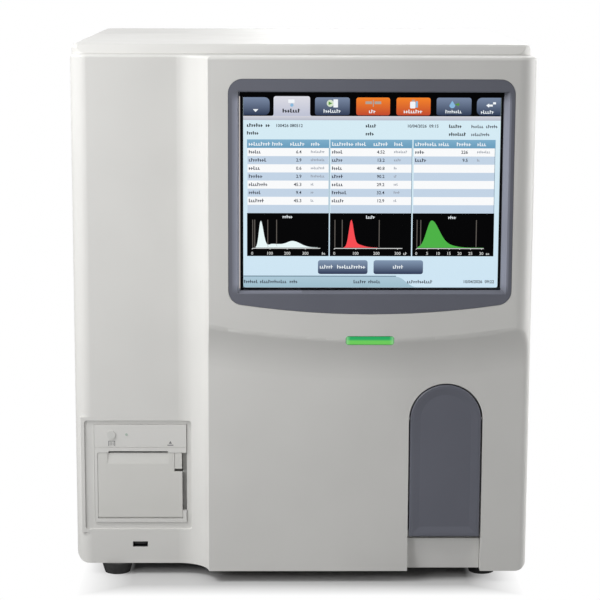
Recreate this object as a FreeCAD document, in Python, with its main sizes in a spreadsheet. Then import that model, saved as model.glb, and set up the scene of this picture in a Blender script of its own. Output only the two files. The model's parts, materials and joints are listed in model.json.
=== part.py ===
"""Benchtop differential cell counter, in millimetres.

X runs to the right as seen from the front, Y from the front to the back and Z up.
The origin is at the middle of the footprint, on the surface that the feet stand on.
"""
import FreeCAD, Part
import math
import operator
import os
import Sketcher
import types

SIZES = {
    # Whole instrument
    "body_width": 390,
    "body_depth": 412,
    "body_height": 460,
    "foot_height": 10,
    "rear_reach": 10,
    "wall": 3,
    "joint_gap": 0.3,
    "running_gap": 0.05,
    "overrun": 5,
    "nearness": 0.01,
    # Front cover
    "cover_depth": 76,
    "column_width": 117.3,
    "column_setback": 31,
    "sweep_radius": 27,
    "sweep_angle": 84,
    "left_corner_radius": 14,
    "right_corner_radius": 15,
    "lower_corner_radius": 10,
    "panel_setback": 7,
    "shelf_gap": 21,
    "shelf_arc_radius": 755,
    "shelf_angle": 22,
    "crease_radius": 12,
    "panel_corner_radius": 6,
    "top_edge_radius": 2.5,
    # Top cover
    "top_cover_height": 8.6,
    "top_cover_inset": 0.9,
    "top_cover_setback": 36,
    "top_cover_corner_radius": 13,
    "top_cover_lip": 1,
    "top_cover_slope": 4.5,
    "top_cover_edge_radius": 4,
    "top_cover_wall": 2.5,
    # Side panels, rear panel and base
    "panel_flange": 14,
    "rear_panel_thickness": 2,
    "base_thickness": 2,
    "base_rim_height": 14,
    "foot_inset_x": 35,
    "foot_inset_y": 41,
    "foot_top_radius": 14,
    "foot_base_radius": 11,
    "foot_recess_radius": 4,
    "foot_recess_depth": 5,
    "partition_right_margin": 125,
    "partition_thickness": 1.5,
    "partition_flange": 12,
    "partition_top_gap": 1.4,
    "partition_front_gap": 5,
    "screw_head_radius": 3.5,
    "screw_head_height": 2,
    "screw_shank_radius": 1.8,
    "screw_length": 8,
    "screw_inset": 9,
    # Display
    "bezel_left_margin": 16.7,
    "bezel_right_margin": 18.8,
    "bezel_top_margin": 18.3,
    "bezel_low": 236.7,
    "bezel_arc_radius": 750,
    "bezel_corner_radius": 12,
    "bezel_depth": 5.5,
    "bezel_slope": 4.5,
    "bezel_flange": 4,
    "bezel_flange_thickness": 2,
    "screen_left_border": 11.9,
    "screen_right_border": 8.8,
    "screen_top_border": 14.2,
    "screen_low_border": 21.5,
    "glass_margin": 3,
    "glass_thickness": 1.8,
    "lcd_margin": 1,
    "lcd_thickness": 9.7,
    "display_bracket_margin": 2,
    "sheet_thickness": 1.5,
    # Status lamp
    "lamp_width": 40.9,
    "lamp_height": 7.9,
    "lamp_drop": 5.8,
    "lamp_shift": 0.35,
    "lamp_corner_radius": 2.4,
    # Sample flap and its bay
    "flap_right_margin": 71.3,
    "flap_half_width": 30.3,
    "flap_low": 40.7,
    "flap_arch_height": 144,
    "flap_thickness": 3,
    "flap_gap": 1.2,
    "flap_edge_bevel": 0.8,
    "flap_dish_margin": 3,
    "flap_dish_depth": 0.6,
    "flap_dish_taper": 84,
    "flap_barrel_radius": 3,
    "flap_barrel_side_gap": 0.8,
    "flap_pivot_depth": 5,
    "flap_pin_radius": 1.5,
    "flap_flange_wall": 2.5,
    "flap_flange_depth": 13,
    "bay_half_width": 35,
    "bay_depth": 48,
    "bay_low": 41,
    "bay_high": 181,
    "niche_top_setback": 7,
    "niche_low_setback": 10,
    "niche_wall": 3,
    "niche_top_drop": 3.2,
    "niche_groove": 3,
    "tube_bore_radius": 6.6,
    "tube_bore_depth": 25,
    "tube_holder_radius": 10,
    "tube_holder_floor": 3,
    "tube_axis_depth": 43,
    # Sampling mechanism
    "probe_radius": 0.8,
    "probe_tip_rise": 1,
    "probe_hole_radius": 2.5,
    "probe_hub_radius": 3.5,
    "probe_hub_height": 8,
    "wiper_radius": 7,
    "wiper_height": 5,
    "rail_radius": 3,
    "rail_spacing": 56,
    "rail_height": 320,
    "rail_span": 184,
    "bracket_front_gap": 3.5,
    "bracket_height": 40,
    "bracket_thickness": 2,
    "bracket_reach": 92,
    "frame_length": 24,
    "frame_width": 74,
    "frame_height": 16,
    "lift_rod_radius": 2,
    "lift_rod_spacing": 28,
    "lift_rod_gap": 2,
    "lift_tie_height": 3,
    "carriage_height": 15,
    "carriage_width": 38,
    "carriage_depth": 20,
    "carriage_gap": 9,
    "screw_radius": 2.5,
    "lift_screw_offset": 6.5,
    "motor_width": 35,
    "motor_height": 28,
    # Counting baths
    "bath_shelf_height": 77,
    "bath_shelf_thickness": 3,
    "bath_outer_radius": 13,
    "bath_inner_radius": 9.5,
    "bath_height": 60,
    "bath_floor": 10,
    "bath_spacing": 40,
    "first_bath_travel": 80,
    "bath_base_height": 8,
    # Syringe unit
    "syringe_reach": 34.5,
    "syringe_front_gap": 2,
    "syringe_spacing": 54,
    "syringe_frame_width": 92,
    "syringe_frame_low": 60,
    "syringe_frame_high": 332,
    "syringe_frame_reach": 54,
    "syringe_seat_height": 216,
    "syringe_plate_thickness": 3,
    "diluent_barrel_radius": 13,
    "diluent_bore_radius": 10,
    "lyse_barrel_radius": 9,
    "lyse_bore_radius": 6,
    "barrel_height": 90,
    "barrel_cap_height": 6,
    "plunger_head_height": 8,
    "plunger_rest_lift": 4,
    "plunger_rod_radius": 3,
    "crosshead_height": 124,
    "crosshead_thickness": 8,
    "crosshead_length": 74,
    "crosshead_width": 20,
    # Valves, vacuum chamber and waste pump
    "valve_block_depth": 16,
    "valve_block_gap": 2,
    "valve_block_width": 52,
    "valve_block_low": 160,
    "valve_block_height": 110,
    "valve_radius": 9,
    "valve_reach": 34,
    "valve_cap_radius": 4,
    "valve_cap_reach": 5,
    "chamber_radius": 24,
    "chamber_height": 96,
    "chamber_right_margin": 45,
    "chamber_lead": 18,
    "chamber_cap_radius": 27,
    "chamber_cap_height": 10,
    "pump_reach": 27.5,
    "pump_lead": 23.5,
    "pump_width": 44,
    "pump_motor_height": 50,
    "pump_head_height": 20,
    "pump_cavity_radius": 19,
    "pump_floor": 3,
    "rotor_arm_radius": 12,
    "rotor_roller_radius": 5,
    "rotor_height": 14,
    "rotor_bore_radius": 3,
    # Electronics
    "board_standoff": 8,
    "board_thickness": 1.6,
    "board_front_gap": 35,
    "board_length": 210,
    "board_low": 170,
    "board_top_gap": 60,
    "board_hole_inset": 8,
    "standoff_radius": 3,
    "heat_sink_length": 50,
    "heat_sink_height": 50,
    "heat_sink_reach": 18,
    "heat_sink_base": 4,
    "heat_sink_fin": 2,
    "connector_length": 36,
    "connector_height": 10,
    "connector_reach": 12,
    "supply_side_gap": 17,
    "supply_width": 98,
    "supply_rear_gap": 14,
    "supply_length": 140,
    "supply_height": 50,
    "supply_slot_width": 4,
    "supply_slot_length": 60,
    "fan_reach": 130,
    "fan_drop": 121.4,
    "fan_width": 80,
    "fan_depth": 25,
    "fan_bore_radius": 38,
    "fan_corner_radius": 5,
    "fan_hub_radius": 17,
    "fan_shaft_radius": 2,
    "fan_shaft_length": 10,
    "fan_spoke_width": 4,
    "fan_web_thickness": 3,
    "fan_blade_reach": 36,
    "fan_blade_thickness": 1.6,
    "fan_blade_inset": 1,
    "fan_blade_lean_angle": 35,
    "guard_thickness": 1.6,
    "guard_bar": 2.4,
    "guard_ring_step": 9,
    "inlet_margin": 63,
    "inlet_height": 110,
    "inlet_body_width": 54,
    "inlet_body_height": 26,
    "inlet_body_depth": 30,
    "inlet_flange_margin": 4,
    "inlet_flange_thickness": 2.5,
    "socket_offset": 11,
    "socket_width": 24.6,
    "socket_height": 17,
    "socket_depth": 16,
    "socket_corner_radius": 3,
    "blade_width": 2,
    "blade_height": 5,
    "blade_length": 11,
    "blade_spacing": 7,
    "blade_rise": 3,
    "rocker_offset": 15,
    "rocker_width": 13,
    "rocker_height": 18,
    "rocker_depth": 6,
    "rocker_lift": 2.6,
    "rocker_sink": 0.6,
    "rocker_well_depth": 12,
    "rocker_side_gap": 1,
    "rocker_pin_radius": 1.2,
    "ports_reach": 48,
    "ports_drop": 151.4,
    "ports_width": 92,
    "ports_plate_height": 30,
    "ports_thickness": 1.2,
    "ports_cut_margin": 5,
    "port_depth": 16,
    "port_wall": 1,
    "wide_port_width": 16,
    "wide_port_height": 13.5,
    "small_port_width": 13.5,
    "small_port_height": 5.8,
    "port_spacing": 19,
    "fitting_margin": 95,
    "fitting_spacing": 24,
    "fitting_height": 140,
    "fitting_hex_width": 14,
    "fitting_hex_thickness": 3,
    "fitting_stem_radius": 3.2,
    "fitting_bore_radius": 2,
    "fitting_thread_radius": 4.5,
    "fitting_thread_length": 12,
    "stud_reach": 72,
    "stud_height": 60,
    "stud_radius": 3,
    "stud_nut_width": 10,
    "stud_nut_thickness": 4,
    # Printer
    "recess_left": 8.4,
    "recess_right_reach": 100.9,
    "recess_low": 40.6,
    "recess_high": 137.5,
    "recess_depth": 1.5,
    "recess_corner_radius": 2.5,
    "printer_inset": 16.5,
    "printer_width": 80.2,
    "printer_low": 46.4,
    "printer_height": 87.7,
    "printer_depth": 62,
    "printer_face_setback": 0.4,
    "printer_rear_wall": 3,
    "door_left": 3.2,
    "door_width": 73.1,
    "door_low": 3.9,
    "door_height": 58.2,
    "door_thickness": 3,
    "door_edge_radius": 1.5,
    "door_channel_rise": 7,
    "door_channel_depth": 6,
    "door_ramp_margin": 0.7,
    "door_ramp_height": 9.5,
    "door_ramp_depth": 1,
    "door_well_depth": 16,
    "door_pivot_rise": 3,
    "door_pivot_depth": 2,
    "door_trunnion_radius": 1.5,
    "door_trunnion_reach": 2,
    "door_trunnion_long_reach": 3.2,
    "slot_left": 8.9,
    "slot_width": 51.6,
    "slot_height": 1.7,
    "notch_width": 6.8,
    "notch_height": 16.5,
    "latch_height": 13.8,
    "latch_back_thickness": 2,
    "latch_back_overlap": 1.6,
    "ear_thickness": 2,
    "ear_height": 9,
    "platen_depth": 9,
    "platen_drop": 7.5,
    "platen_radius": 4.5,
    "platen_shaft_radius": 1.5,
    "platen_end_gap": 2.5,
    "head_thickness": 3,
    "head_height": 11,
    "bay_roof_drop": 2.5,
    "roll_radius": 18,
    "roll_side_gap": 0.6,
    "roll_core_radius": 6,
    "roll_core_gap": 0.1,
    "roll_rise": 30.6,
    "roll_depth": 38,
    "hub_reach": 6,
    "button_left": 15.1,
    "button_drop": 9.3,
    "button_radius": 3.7,
    "button_gap": 0.1,
    "button_proud": 0.8,
    "button_flange_radius": 5,
    "button_flange_thickness": 1.5,
    "header_wall": 2.5,
    "header_line_rise": 5,
    "header_line_width": 0.5,
    "header_line_depth": 0.5,
    # USB socket in the front
    "usb_margin": 55.9,
    "usb_height": 27.05,
    "usb_width": 13.1,
    "usb_opening_height": 4.9,
    "usb_depth": 14,
    "usb_shell": 0.5,
    "usb_tongue_height": 1.6,
    "usb_tongue_margin": 1,
    "usb_block_margin": 1.5,
    "usb_block_depth": 6,
}
FAN_BLADE_COUNT = 7
BLADE_ROOT_SHARE = 0.85
GUARD_RING_COUNT = 4
HEAT_SINK_FIN_COUNT = 6
SUPPLY_SLOT_COUNT = 5
FITTING_COUNT = 4
SMALL_PORT_COUNT = 3
HEX_SIDE_COUNT = 6
QUARTER_TURN = 90
FULL_TURN = 360
SIGNS = {"+": operator.add, "-": operator.sub, "*": operator.mul, "/": operator.truediv}
LEFT = "left"
RIGHT = "right"


class Size:
    """A size that carries both its number and its formula on the sizes sheet."""

    def __init__(self, number, formula):
        self.number = number
        self.formula = formula

    def __add__(self, other):
        return combined(self, "+", other)

    def __radd__(self, other):
        return combined(other, "+", self)

    def __sub__(self, other):
        return combined(self, "-", other)

    def __rsub__(self, other):
        return combined(other, "-", self)

    def __mul__(self, other):
        return combined(self, "*", other)

    def __rmul__(self, other):
        return combined(other, "*", self)

    def __truediv__(self, other):
        return combined(self, "/", other)

    def __neg__(self):
        return combined(0, "-", self)


def as_size(value):
    """Wrap a plain count or share, so that it joins the arithmetic of sizes."""
    return value if isinstance(value, Size) else Size(value, str(value))


def combined(first, sign, second):
    first, second = as_size(first), as_size(second)
    number = SIGNS[sign](first.number, second.number)
    return Size(number, f"({first.formula} {sign} {second.formula})")


def root(size):
    return Size(math.sqrt(size.number), f"sqrt({size.formula})")


def sine(angle):
    angle = as_size(angle)
    return Size(math.sin(math.radians(angle.number)), f"sin({angle.formula})")


def cosine(angle):
    angle = as_size(angle)
    return Size(math.cos(math.radians(angle.number)), f"cos({angle.formula})")


doc = FreeCAD.newDocument("cell_counter")
sheet = doc.addObject("Spreadsheet::Sheet", "sizes")
s = types.SimpleNamespace()
for row, (name, value) in enumerate(SIZES.items(), start=1):
    sheet.set(f"A{row}", name)
    sheet.set(f"B{row}", str(value))
    sheet.setAlias(f"B{row}", name)
    setattr(s, name, Size(value, f"sizes.{name}"))
doc.recompute()
subparts = []


def bind(item, **sizes):
    """Bind properties of an object to formulas; a double underscore stands for a dot."""
    for name, size in sizes.items():
        item.setExpression(name.replace("__", "."), as_size(size).formula)
    return item


def subpart(name, item):
    """Give the finished solid its name and keep it for export."""
    item.Label = name
    subparts.append(item)
    return item


# Primitives and booleans

def box(left, right, front, back, low, high):
    item = doc.addObject("Part::Box", "block")
    bind(item, Length=right - left, Width=back - front, Height=high - low)
    return bind(item, Placement__Base__x=left, Placement__Base__y=front, Placement__Base__z=low)


AXIS_TURNS = {
    "X": FreeCAD.Rotation(FreeCAD.Vector(0, 1, 0), QUARTER_TURN),
    "Y": FreeCAD.Rotation(FreeCAD.Vector(1, 0, 0), -QUARTER_TURN),
    "Z": FreeCAD.Rotation(),
}


def along(item, axis, start, first, second):
    """Lay an upright primitive along an axis, from start, centred on first and second."""
    item.Placement = FreeCAD.Placement(FreeCAD.Vector(), AXIS_TURNS[axis])
    places = {"X": (start, first, second), "Y": (first, start, second), "Z": (first, second, start)}
    x, y, z = places[axis]
    return bind(item, Placement__Base__x=x, Placement__Base__y=y, Placement__Base__z=z)


def rod(axis, start, end, first, second, radius):
    item = doc.addObject("Part::Cylinder", "rod")
    bind(item, Radius=radius, Height=end - start)
    return along(item, axis, start, first, second)


def taper(axis, start, end, first, second, start_radius, end_radius):
    item = doc.addObject("Part::Cone", "taper")
    bind(item, Radius1=start_radius, Radius2=end_radius, Height=end - start)
    return along(item, axis, start, first, second)


def hexagon(axis, start, end, first, second, flats):
    item = doc.addObject("Part::Prism", "hexagon")
    item.Polygon = HEX_SIDE_COUNT
    bind(item, Circumradius=flats / (2 * cosine(FULL_TURN / HEX_SIDE_COUNT / 2)), Height=end - start)
    return along(item, axis, start, first, second)


def fuse(*pieces):
    item = doc.addObject("Part::MultiFuse", "joined")
    item.Shapes = list(pieces)
    return item


def cut(base, *tools):
    item = doc.addObject("Part::Cut", "cut")
    item.Base = base
    item.Tool = fuse(*tools) if len(tools) > 1 else tools[0]
    return item


def group(*pieces):
    item = doc.addObject("Part::Compound", "group")
    item.Links = list(pieces)
    return item


# Sketched bodies

PLANE_NORMAL_SIGN = {"XY_Plane": 1, "XZ_Plane": -1, "YZ_Plane": 1}


def new_body():
    return doc.addObject("PartDesign::Body", "body")


def arc_between(start, end, radius, turn):
    """The arc of under a half circle from start to end that turns left or right."""
    middle = (start + end) * 0.5
    chord = end - start
    reach = math.sqrt(max(radius ** 2 - (chord.Length / 2) ** 2, 0))
    across = FreeCAD.Vector(-chord.y, chord.x, 0).normalize()
    centre = middle + across * (reach if turn == LEFT else -reach)
    first, last = (start, end) if turn == LEFT else (end, start)
    circle = Part.Circle(centre, FreeCAD.Vector(0, 0, 1), radius)
    return Part.ArcOfCircle(circle, circle.parameter(first), circle.parameter(last))


def draw_loop(sketch, loop):
    """Draw a closed loop: each entry is an edge's end, with radius and turn for an arc."""
    first_edge = sketch.GeometryCount
    points = [FreeCAD.Vector(as_size(entry[0]).number, as_size(entry[1]).number, 0) for entry in loop]
    ends = []
    for index, entry in enumerate(loop):
        start, end = points[index - 1], points[index]
        if len(entry) == 2:
            sketch.addGeometry(Part.LineSegment(start, end), False)
            ends.append((1, 2))
        else:
            sketch.addGeometry(arc_between(start, end, entry[2].number, entry[3]), False)
            ends.append((1, 2) if entry[3] == LEFT else (2, 1))
    rules = []
    bound = []
    for index, entry in enumerate(loop):
        edge = first_edge + index
        before = (index - 1) % len(loop)
        tail, head = ends[index]
        rules.append(Sketcher.Constraint("Coincident", first_edge + before, ends[before][1], edge, tail))
        rules.append(Sketcher.Constraint("DistanceX", edge, head, points[index].x))
        bound.append((len(rules) - 1, entry[0]))
        rules.append(Sketcher.Constraint("DistanceY", edge, head, points[index].y))
        bound.append((len(rules) - 1, entry[1]))
        if len(entry) > 2:
            rules.append(Sketcher.Constraint("Radius", edge, entry[2].number))
            bound.append((len(rules) - 1, entry[2]))
    first_rule = sketch.ConstraintCount
    sketch.addConstraint(rules)
    for rule, size in bound:
        sketch.setExpression(f"Constraints[{first_rule + rule}]", as_size(size).formula)


def draw_circle(sketch, x, y, radius):
    edge = sketch.GeometryCount
    centre = FreeCAD.Vector(x.number, y.number, 0)
    sketch.addGeometry(Part.Circle(centre, FreeCAD.Vector(0, 0, 1), radius.number), False)
    first_rule = sketch.ConstraintCount
    sketch.addConstraint([
        Sketcher.Constraint("DistanceX", edge, 3, x.number),
        Sketcher.Constraint("DistanceY", edge, 3, y.number),
        Sketcher.Constraint("Radius", edge, radius.number),
    ])
    for rule, size in enumerate((x, y, radius)):
        sketch.setExpression(f"Constraints[{first_rule + rule}]", size.formula)


def sketch_on(body, plane, level, *loops):
    """A sketch parallel to an origin plane of the body, at a level along the plane's axis."""
    sketch = body.newObject("Sketcher::SketchObject", "outline")
    support = [item for item in body.Origin.OriginFeatures if item.Role == plane][0]
    sketch.AttachmentSupport = [(support, "")]
    sketch.MapMode = "FlatFace"
    bind(sketch, AttachmentOffset__Base__z=level * PLANE_NORMAL_SIGN[plane])
    for loop in loops:
        if isinstance(loop, tuple):
            draw_circle(sketch, *loop)
        else:
            draw_loop(sketch, loop)
    return sketch


def pad(body, plane, low, high, *loops):
    """Add an extrusion from low to high along the plane's axis."""
    sketch = sketch_on(body, plane, low, *loops)
    feature = body.newObject("PartDesign::Pad", "pad")
    feature.Profile = sketch
    feature.Reversed = plane == "XZ_Plane"
    return bind(feature, Length=high - low)


def pocket(body, plane, low, high, *loops):
    """Cut an extrusion from low to high along the plane's axis."""
    sketch = sketch_on(body, plane, low, *loops)
    feature = body.newObject("PartDesign::Pocket", "pocket")
    feature.Profile = sketch
    feature.Reversed = plane != "XZ_Plane"
    return bind(feature, Length=high - low)


def edges_where(body, fits):
    """Names of the edges of the body's tip that a test picks by their bounding box."""
    doc.recompute()
    edges = enumerate(body.Tip.Shape.Edges, start=1)
    return [f"Edge{index}" for index, edge in edges if fits(edge.BoundBox)]


def soften(body, kind, size, fits):
    """Fillet or chamfer the picked edges."""
    names = edges_where(body, fits)
    base = body.Tip
    feature = body.newObject(f"PartDesign::{kind}", kind.lower())
    feature.Base = (base, names)
    if kind == "Fillet":
        return bind(feature, Radius=size)
    return bind(feature, Size=size)


def near(value, size):
    return abs(value - size.number) < s.nearness.number


def rectangle(left, right, low, high):
    return [(left, low), (right, low), (right, high), (left, high)]


def rounded_rectangle(left, right, low, high, radius):
    return [
        (left + radius, low, radius, LEFT), (right - radius, low),
        (right, low + radius, radius, LEFT), (right, high - radius),
        (right - radius, high, radius, LEFT), (left + radius, high),
        (left, high - radius, radius, LEFT), (left, low + radius),
    ]


# Places that several sub-parts share

half_width = s.body_width / 2
front = -s.body_depth / 2
back = s.body_depth / 2
skin_back = back - s.rear_reach
underside = s.foot_height
cover_top = s.body_height - s.top_cover_height
column_face = front + s.column_setback
panel_face = front + s.panel_setback
seam = front + s.cover_depth
panel_front = seam + s.joint_gap
inner_face = panel_face + s.wall
panel_edge = s.column_width - half_width
flank = s.column_setback - s.sweep_radius * (1 - cosine(s.sweep_angle))
sweep_end = panel_edge - flank * cosine(s.sweep_angle) / sine(s.sweep_angle)
sweep_start = sweep_end - s.sweep_radius * sine(s.sweep_angle)
sweep_middle_y = column_face - s.sweep_radius
base_top = underside + s.base_thickness
rear_inner = skin_back - s.rear_panel_thickness
bezel_left = panel_edge + s.bezel_left_margin
bezel_right = half_width - s.bezel_right_margin
bezel_middle = (bezel_left + bezel_right) / 2
bezel_top = cover_top - s.bezel_top_margin
lamp_middle = bezel_middle + s.lamp_shift
shelf_low = s.bezel_low - s.shelf_gap
flap_middle = half_width - s.flap_right_margin
partition_x = half_width - s.partition_right_margin
partition_right = partition_x + s.partition_thickness
partition_front = seam + s.partition_front_gap
partition_top = cover_top - s.partition_top_gap
flap_flange_back = panel_face + s.flap_flange_depth
flap_pivot_y = panel_face + s.flap_pivot_depth
bay_back = flap_flange_back + s.bay_depth
tube_y = front + s.tube_axis_depth
printer_left = s.printer_inset - half_width
printer_right = printer_left + s.printer_width
printer_high = s.printer_low + s.printer_height
printer_face = column_face + s.printer_face_setback
door_left = printer_left + s.door_left
door_right = door_left + s.door_width
door_low = s.printer_low + s.door_low
door_high = door_low + s.door_height
slot_left = printer_left + s.joint_gap + s.slot_left + s.door_left
slot_right = slot_left + s.slot_width
inlet_x = s.inlet_margin - half_width
inlet_left = inlet_x - s.inlet_body_width / 2
inlet_right = inlet_x + s.inlet_body_width / 2
stud_x = inlet_x + s.stud_reach
fan_x, fan_z = partition_x - s.fan_reach, cover_top - s.fan_drop
ports_x, ports_z = partition_x - s.ports_reach, cover_top - s.ports_drop
usb_middle = s.usb_margin - half_width
bath_y = tube_y + s.first_bath_travel


def arch(half, low, top_centre):
    """A door outline with a round top, centred on the flap's middle."""
    middle = flap_middle
    return [
        (middle - half, low), (middle + half, low), (middle + half, top_centre),
        (middle, top_centre + half, half, LEFT), (middle - half, top_centre, half, LEFT),
    ]


def bezel_outline(grow):
    """The display frame's outline, grown all round, with its bottom on a wide arc."""
    left, right = bezel_left - grow, bezel_right + grow
    half = (right - left) / 2
    top = bezel_top + grow
    corner = s.bezel_corner_radius + grow
    arc = s.bezel_arc_radius + grow
    arc_middle = s.bezel_low + s.bezel_arc_radius
    corner_reach = half - corner
    corner_drop = root((arc - corner) * (arc - corner) - corner_reach * corner_reach)
    corner_middle = arc_middle - corner_drop
    foot_reach = corner_reach * arc / (arc - corner)
    foot_height = arc_middle - corner_drop * arc / (arc - corner)
    return [
        (bezel_middle - foot_reach, foot_height, corner, LEFT),
        (bezel_middle + foot_reach, foot_height, arc, LEFT),
        (right, corner_middle, corner, LEFT), (right, top - corner),
        (right - corner, top, corner, LEFT), (left + corner, top),
        (left, top - corner, corner, LEFT), (left, corner_middle),
    ]


def lamp_outline(grow):
    left = lamp_middle - s.lamp_width / 2
    right = lamp_middle + s.lamp_width / 2
    low = shelf_low - s.lamp_drop
    high = low + s.lamp_height
    radius = s.lamp_corner_radius + grow
    return rounded_rectangle(left - grow, right + grow, low - grow, high + grow, radius)


# Casing

def front_cover():
    body = new_body()
    left_radius, right_radius = s.left_corner_radius, s.right_corner_radius
    pad(body, "XY_Plane", underside, cover_top, [
        (-half_width, seam), (-half_width, column_face + left_radius),
        (left_radius - half_width, column_face, left_radius, LEFT), (sweep_start, column_face),
        (sweep_end, front + flank, s.sweep_radius, RIGHT), (panel_edge, front),
        (half_width - right_radius, front), (half_width, front + right_radius, right_radius, LEFT),
        (half_width, seam),
    ])
    cut_shelf(body)
    soften(body, "Fillet", s.panel_corner_radius, lambda edge: near(edge.YMin, panel_face)
           and near(edge.YMax, panel_face) and edge.XMin > (half_width - right_radius).number)
    for side in (-1, 1):
        trim_lower_corner(body, side)
    cut_cavity(body)
    pocket(body, "XZ_Plane", front - s.overrun, inner_face + s.overrun, bezel_outline(s.joint_gap))
    pocket(body, "XZ_Plane", front - s.overrun, inner_face + s.overrun, lamp_outline(s.running_gap))
    cut_flap_opening(body)
    cut_printer_opening(body)
    usb_left, usb_right = usb_middle - s.usb_width / 2, usb_middle + s.usb_width / 2
    usb_low = s.usb_height - s.usb_opening_height / 2
    pocket(body, "XZ_Plane", column_face - s.overrun, column_face + s.wall + s.overrun,
           rectangle(usb_left, usb_right, usb_low, usb_low + s.usb_opening_height))
    soften(body, "Fillet", s.top_edge_radius, lambda edge: near(edge.ZMin, cover_top)
           and near(edge.ZMax, cover_top) and edge.YMin < seam.number - s.nearness.number)
    return subpart("front_cover", body)


def cut_shelf(body):
    """Set the lower panel back below a soft crease that follows a wide arc."""
    axis_height = shelf_low + s.shelf_arc_radius
    hollow_radius = s.panel_setback / (1 - cosine(s.shelf_angle)) - s.crease_radius
    crease = -s.shelf_arc_radius
    lean_y = front + s.crease_radius * (1 - cosine(s.shelf_angle))
    lean = crease - s.crease_radius * sine(s.shelf_angle)
    foot = lean - hollow_radius * sine(s.shelf_angle)
    beyond = crease - s.body_height
    sketch = sketch_on(body, "YZ_Plane", lamp_middle, [
        (front, crease), (lean_y, lean, s.crease_radius, LEFT),
        (panel_face, foot, hollow_radius, RIGHT), (panel_face, beyond),
        (front - s.overrun, beyond), (front - s.overrun, crease),
    ])
    bind(sketch, AttachmentOffset__Base__y=axis_height)
    groove = body.newObject("PartDesign::Groove", "groove")
    groove.Profile = sketch
    groove.ReferenceAxis = (sketch, ["H_Axis"])
    groove.Angle = FULL_TURN


def trim_lower_corner(body, side):
    radius = s.lower_corner_radius
    turn = LEFT if side > 0 else RIGHT
    outside, beneath = side * (half_width + s.overrun), underside - s.overrun
    pocket(body, "XZ_Plane", front - s.overrun, seam + s.overrun, [
        (side * (half_width - radius), beneath), (side * (half_width - radius), underside),
        (side * half_width, underside + radius, radius, turn),
        (outside, underside + radius), (outside, beneath),
    ])


def cut_cavity(body):
    """Hollow the cover from behind, leaving its walls."""
    wall = s.wall
    behind = seam + s.overrun
    corner_x, corner_y = half_width - s.right_corner_radius, front + s.right_corner_radius
    corner = s.right_corner_radius - wall
    corner_rise = corner_y - inner_face
    sweep = s.sweep_radius + wall
    sweep_rise = inner_face - sweep_middle_y
    pocket(body, "XY_Plane", underside + s.lower_corner_radius, cover_top - wall, [
        (wall - half_width, behind), (wall - half_width, column_face + s.left_corner_radius),
        (s.left_corner_radius - half_width, column_face + wall, s.left_corner_radius - wall, LEFT),
        (sweep_start, column_face + wall),
        (sweep_start + root(sweep * sweep - sweep_rise * sweep_rise), inner_face, sweep, RIGHT),
        (corner_x + root(corner * corner - corner_rise * corner_rise), inner_face),
        (half_width - wall, corner_y, corner, LEFT), (half_width - wall, behind),
    ])
    floor_reach = half_width - s.lower_corner_radius
    pocket(body, "XY_Plane", underside + wall, underside + s.lower_corner_radius + s.overrun,
           rectangle(panel_edge + wall, floor_reach, inner_face, behind))
    pocket(body, "XY_Plane", underside - s.overrun, underside + s.lower_corner_radius + s.overrun,
           rectangle(s.panel_flange - half_width, half_width - s.panel_flange,
                     column_face + wall, behind))
    pocket(body, "XZ_Plane", front + wall, inner_face + s.overrun,
           bezel_outline(s.bezel_flange + s.joint_gap))


def cut_flap_opening(body):
    """A round-topped opening with a return flange that carries the flap's pin."""
    half = s.flap_half_width + s.flap_gap
    rim = half + s.flap_flange_wall
    pad(body, "XZ_Plane", panel_face, flap_flange_back, arch(rim, underside, s.flap_arch_height))
    pocket(body, "XZ_Plane", panel_face - s.overrun, flap_flange_back + s.overrun,
           arch(half, underside - s.overrun, s.flap_arch_height))
    pocket(body, "YZ_Plane", flap_middle - rim - s.nearness, flap_middle + rim + s.nearness,
           (flap_pivot_y, s.flap_arch_height, s.flap_pin_radius))


def cut_printer_opening(body):
    recess_left = s.recess_left - half_width
    recess_right = s.recess_right_reach - half_width
    pad(body, "XZ_Plane", column_face, column_face + s.recess_depth + s.wall,
        rectangle(recess_left - s.wall, recess_right + s.wall, s.recess_low - s.wall,
                  s.recess_high + s.wall))
    pocket(body, "XZ_Plane", front, column_face + s.recess_depth,
           rounded_rectangle(recess_left, recess_right, s.recess_low, s.recess_high,
                             s.recess_corner_radius))
    pocket(body, "XZ_Plane", column_face, column_face + s.wall + s.overrun,
           rectangle(printer_left, printer_right, s.printer_low, printer_high))


def top_cover():
    body = new_body()
    left, right = s.top_cover_inset - half_width, half_width - s.top_cover_inset
    lid_front = front + s.top_cover_setback
    radius, wall = s.top_cover_corner_radius, s.top_cover_wall
    pad(body, "XY_Plane", cover_top, s.body_height,
        rounded_rectangle(left, right, lid_front, skin_back, radius))
    beyond, above = lid_front - s.overrun, s.body_height + s.overrun
    pocket(body, "YZ_Plane", left - s.overrun, right + s.overrun, [
        (lid_front, cover_top + s.top_cover_lip), (lid_front + s.top_cover_slope, s.body_height),
        (lid_front + s.top_cover_slope, above), (beyond, above),
        (beyond, cover_top + s.top_cover_lip),
    ])
    soften(body, "Fillet", s.top_cover_edge_radius,
           lambda edge: near(edge.ZMin, s.body_height) and near(edge.ZMax, s.body_height))
    pocket(body, "XY_Plane", cover_top - s.overrun, s.body_height - wall,
           rounded_rectangle(left + wall, right - wall, lid_front + s.top_cover_slope + wall,
                             skin_back - wall, radius - wall))
    return subpart("top_cover", body)


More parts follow.
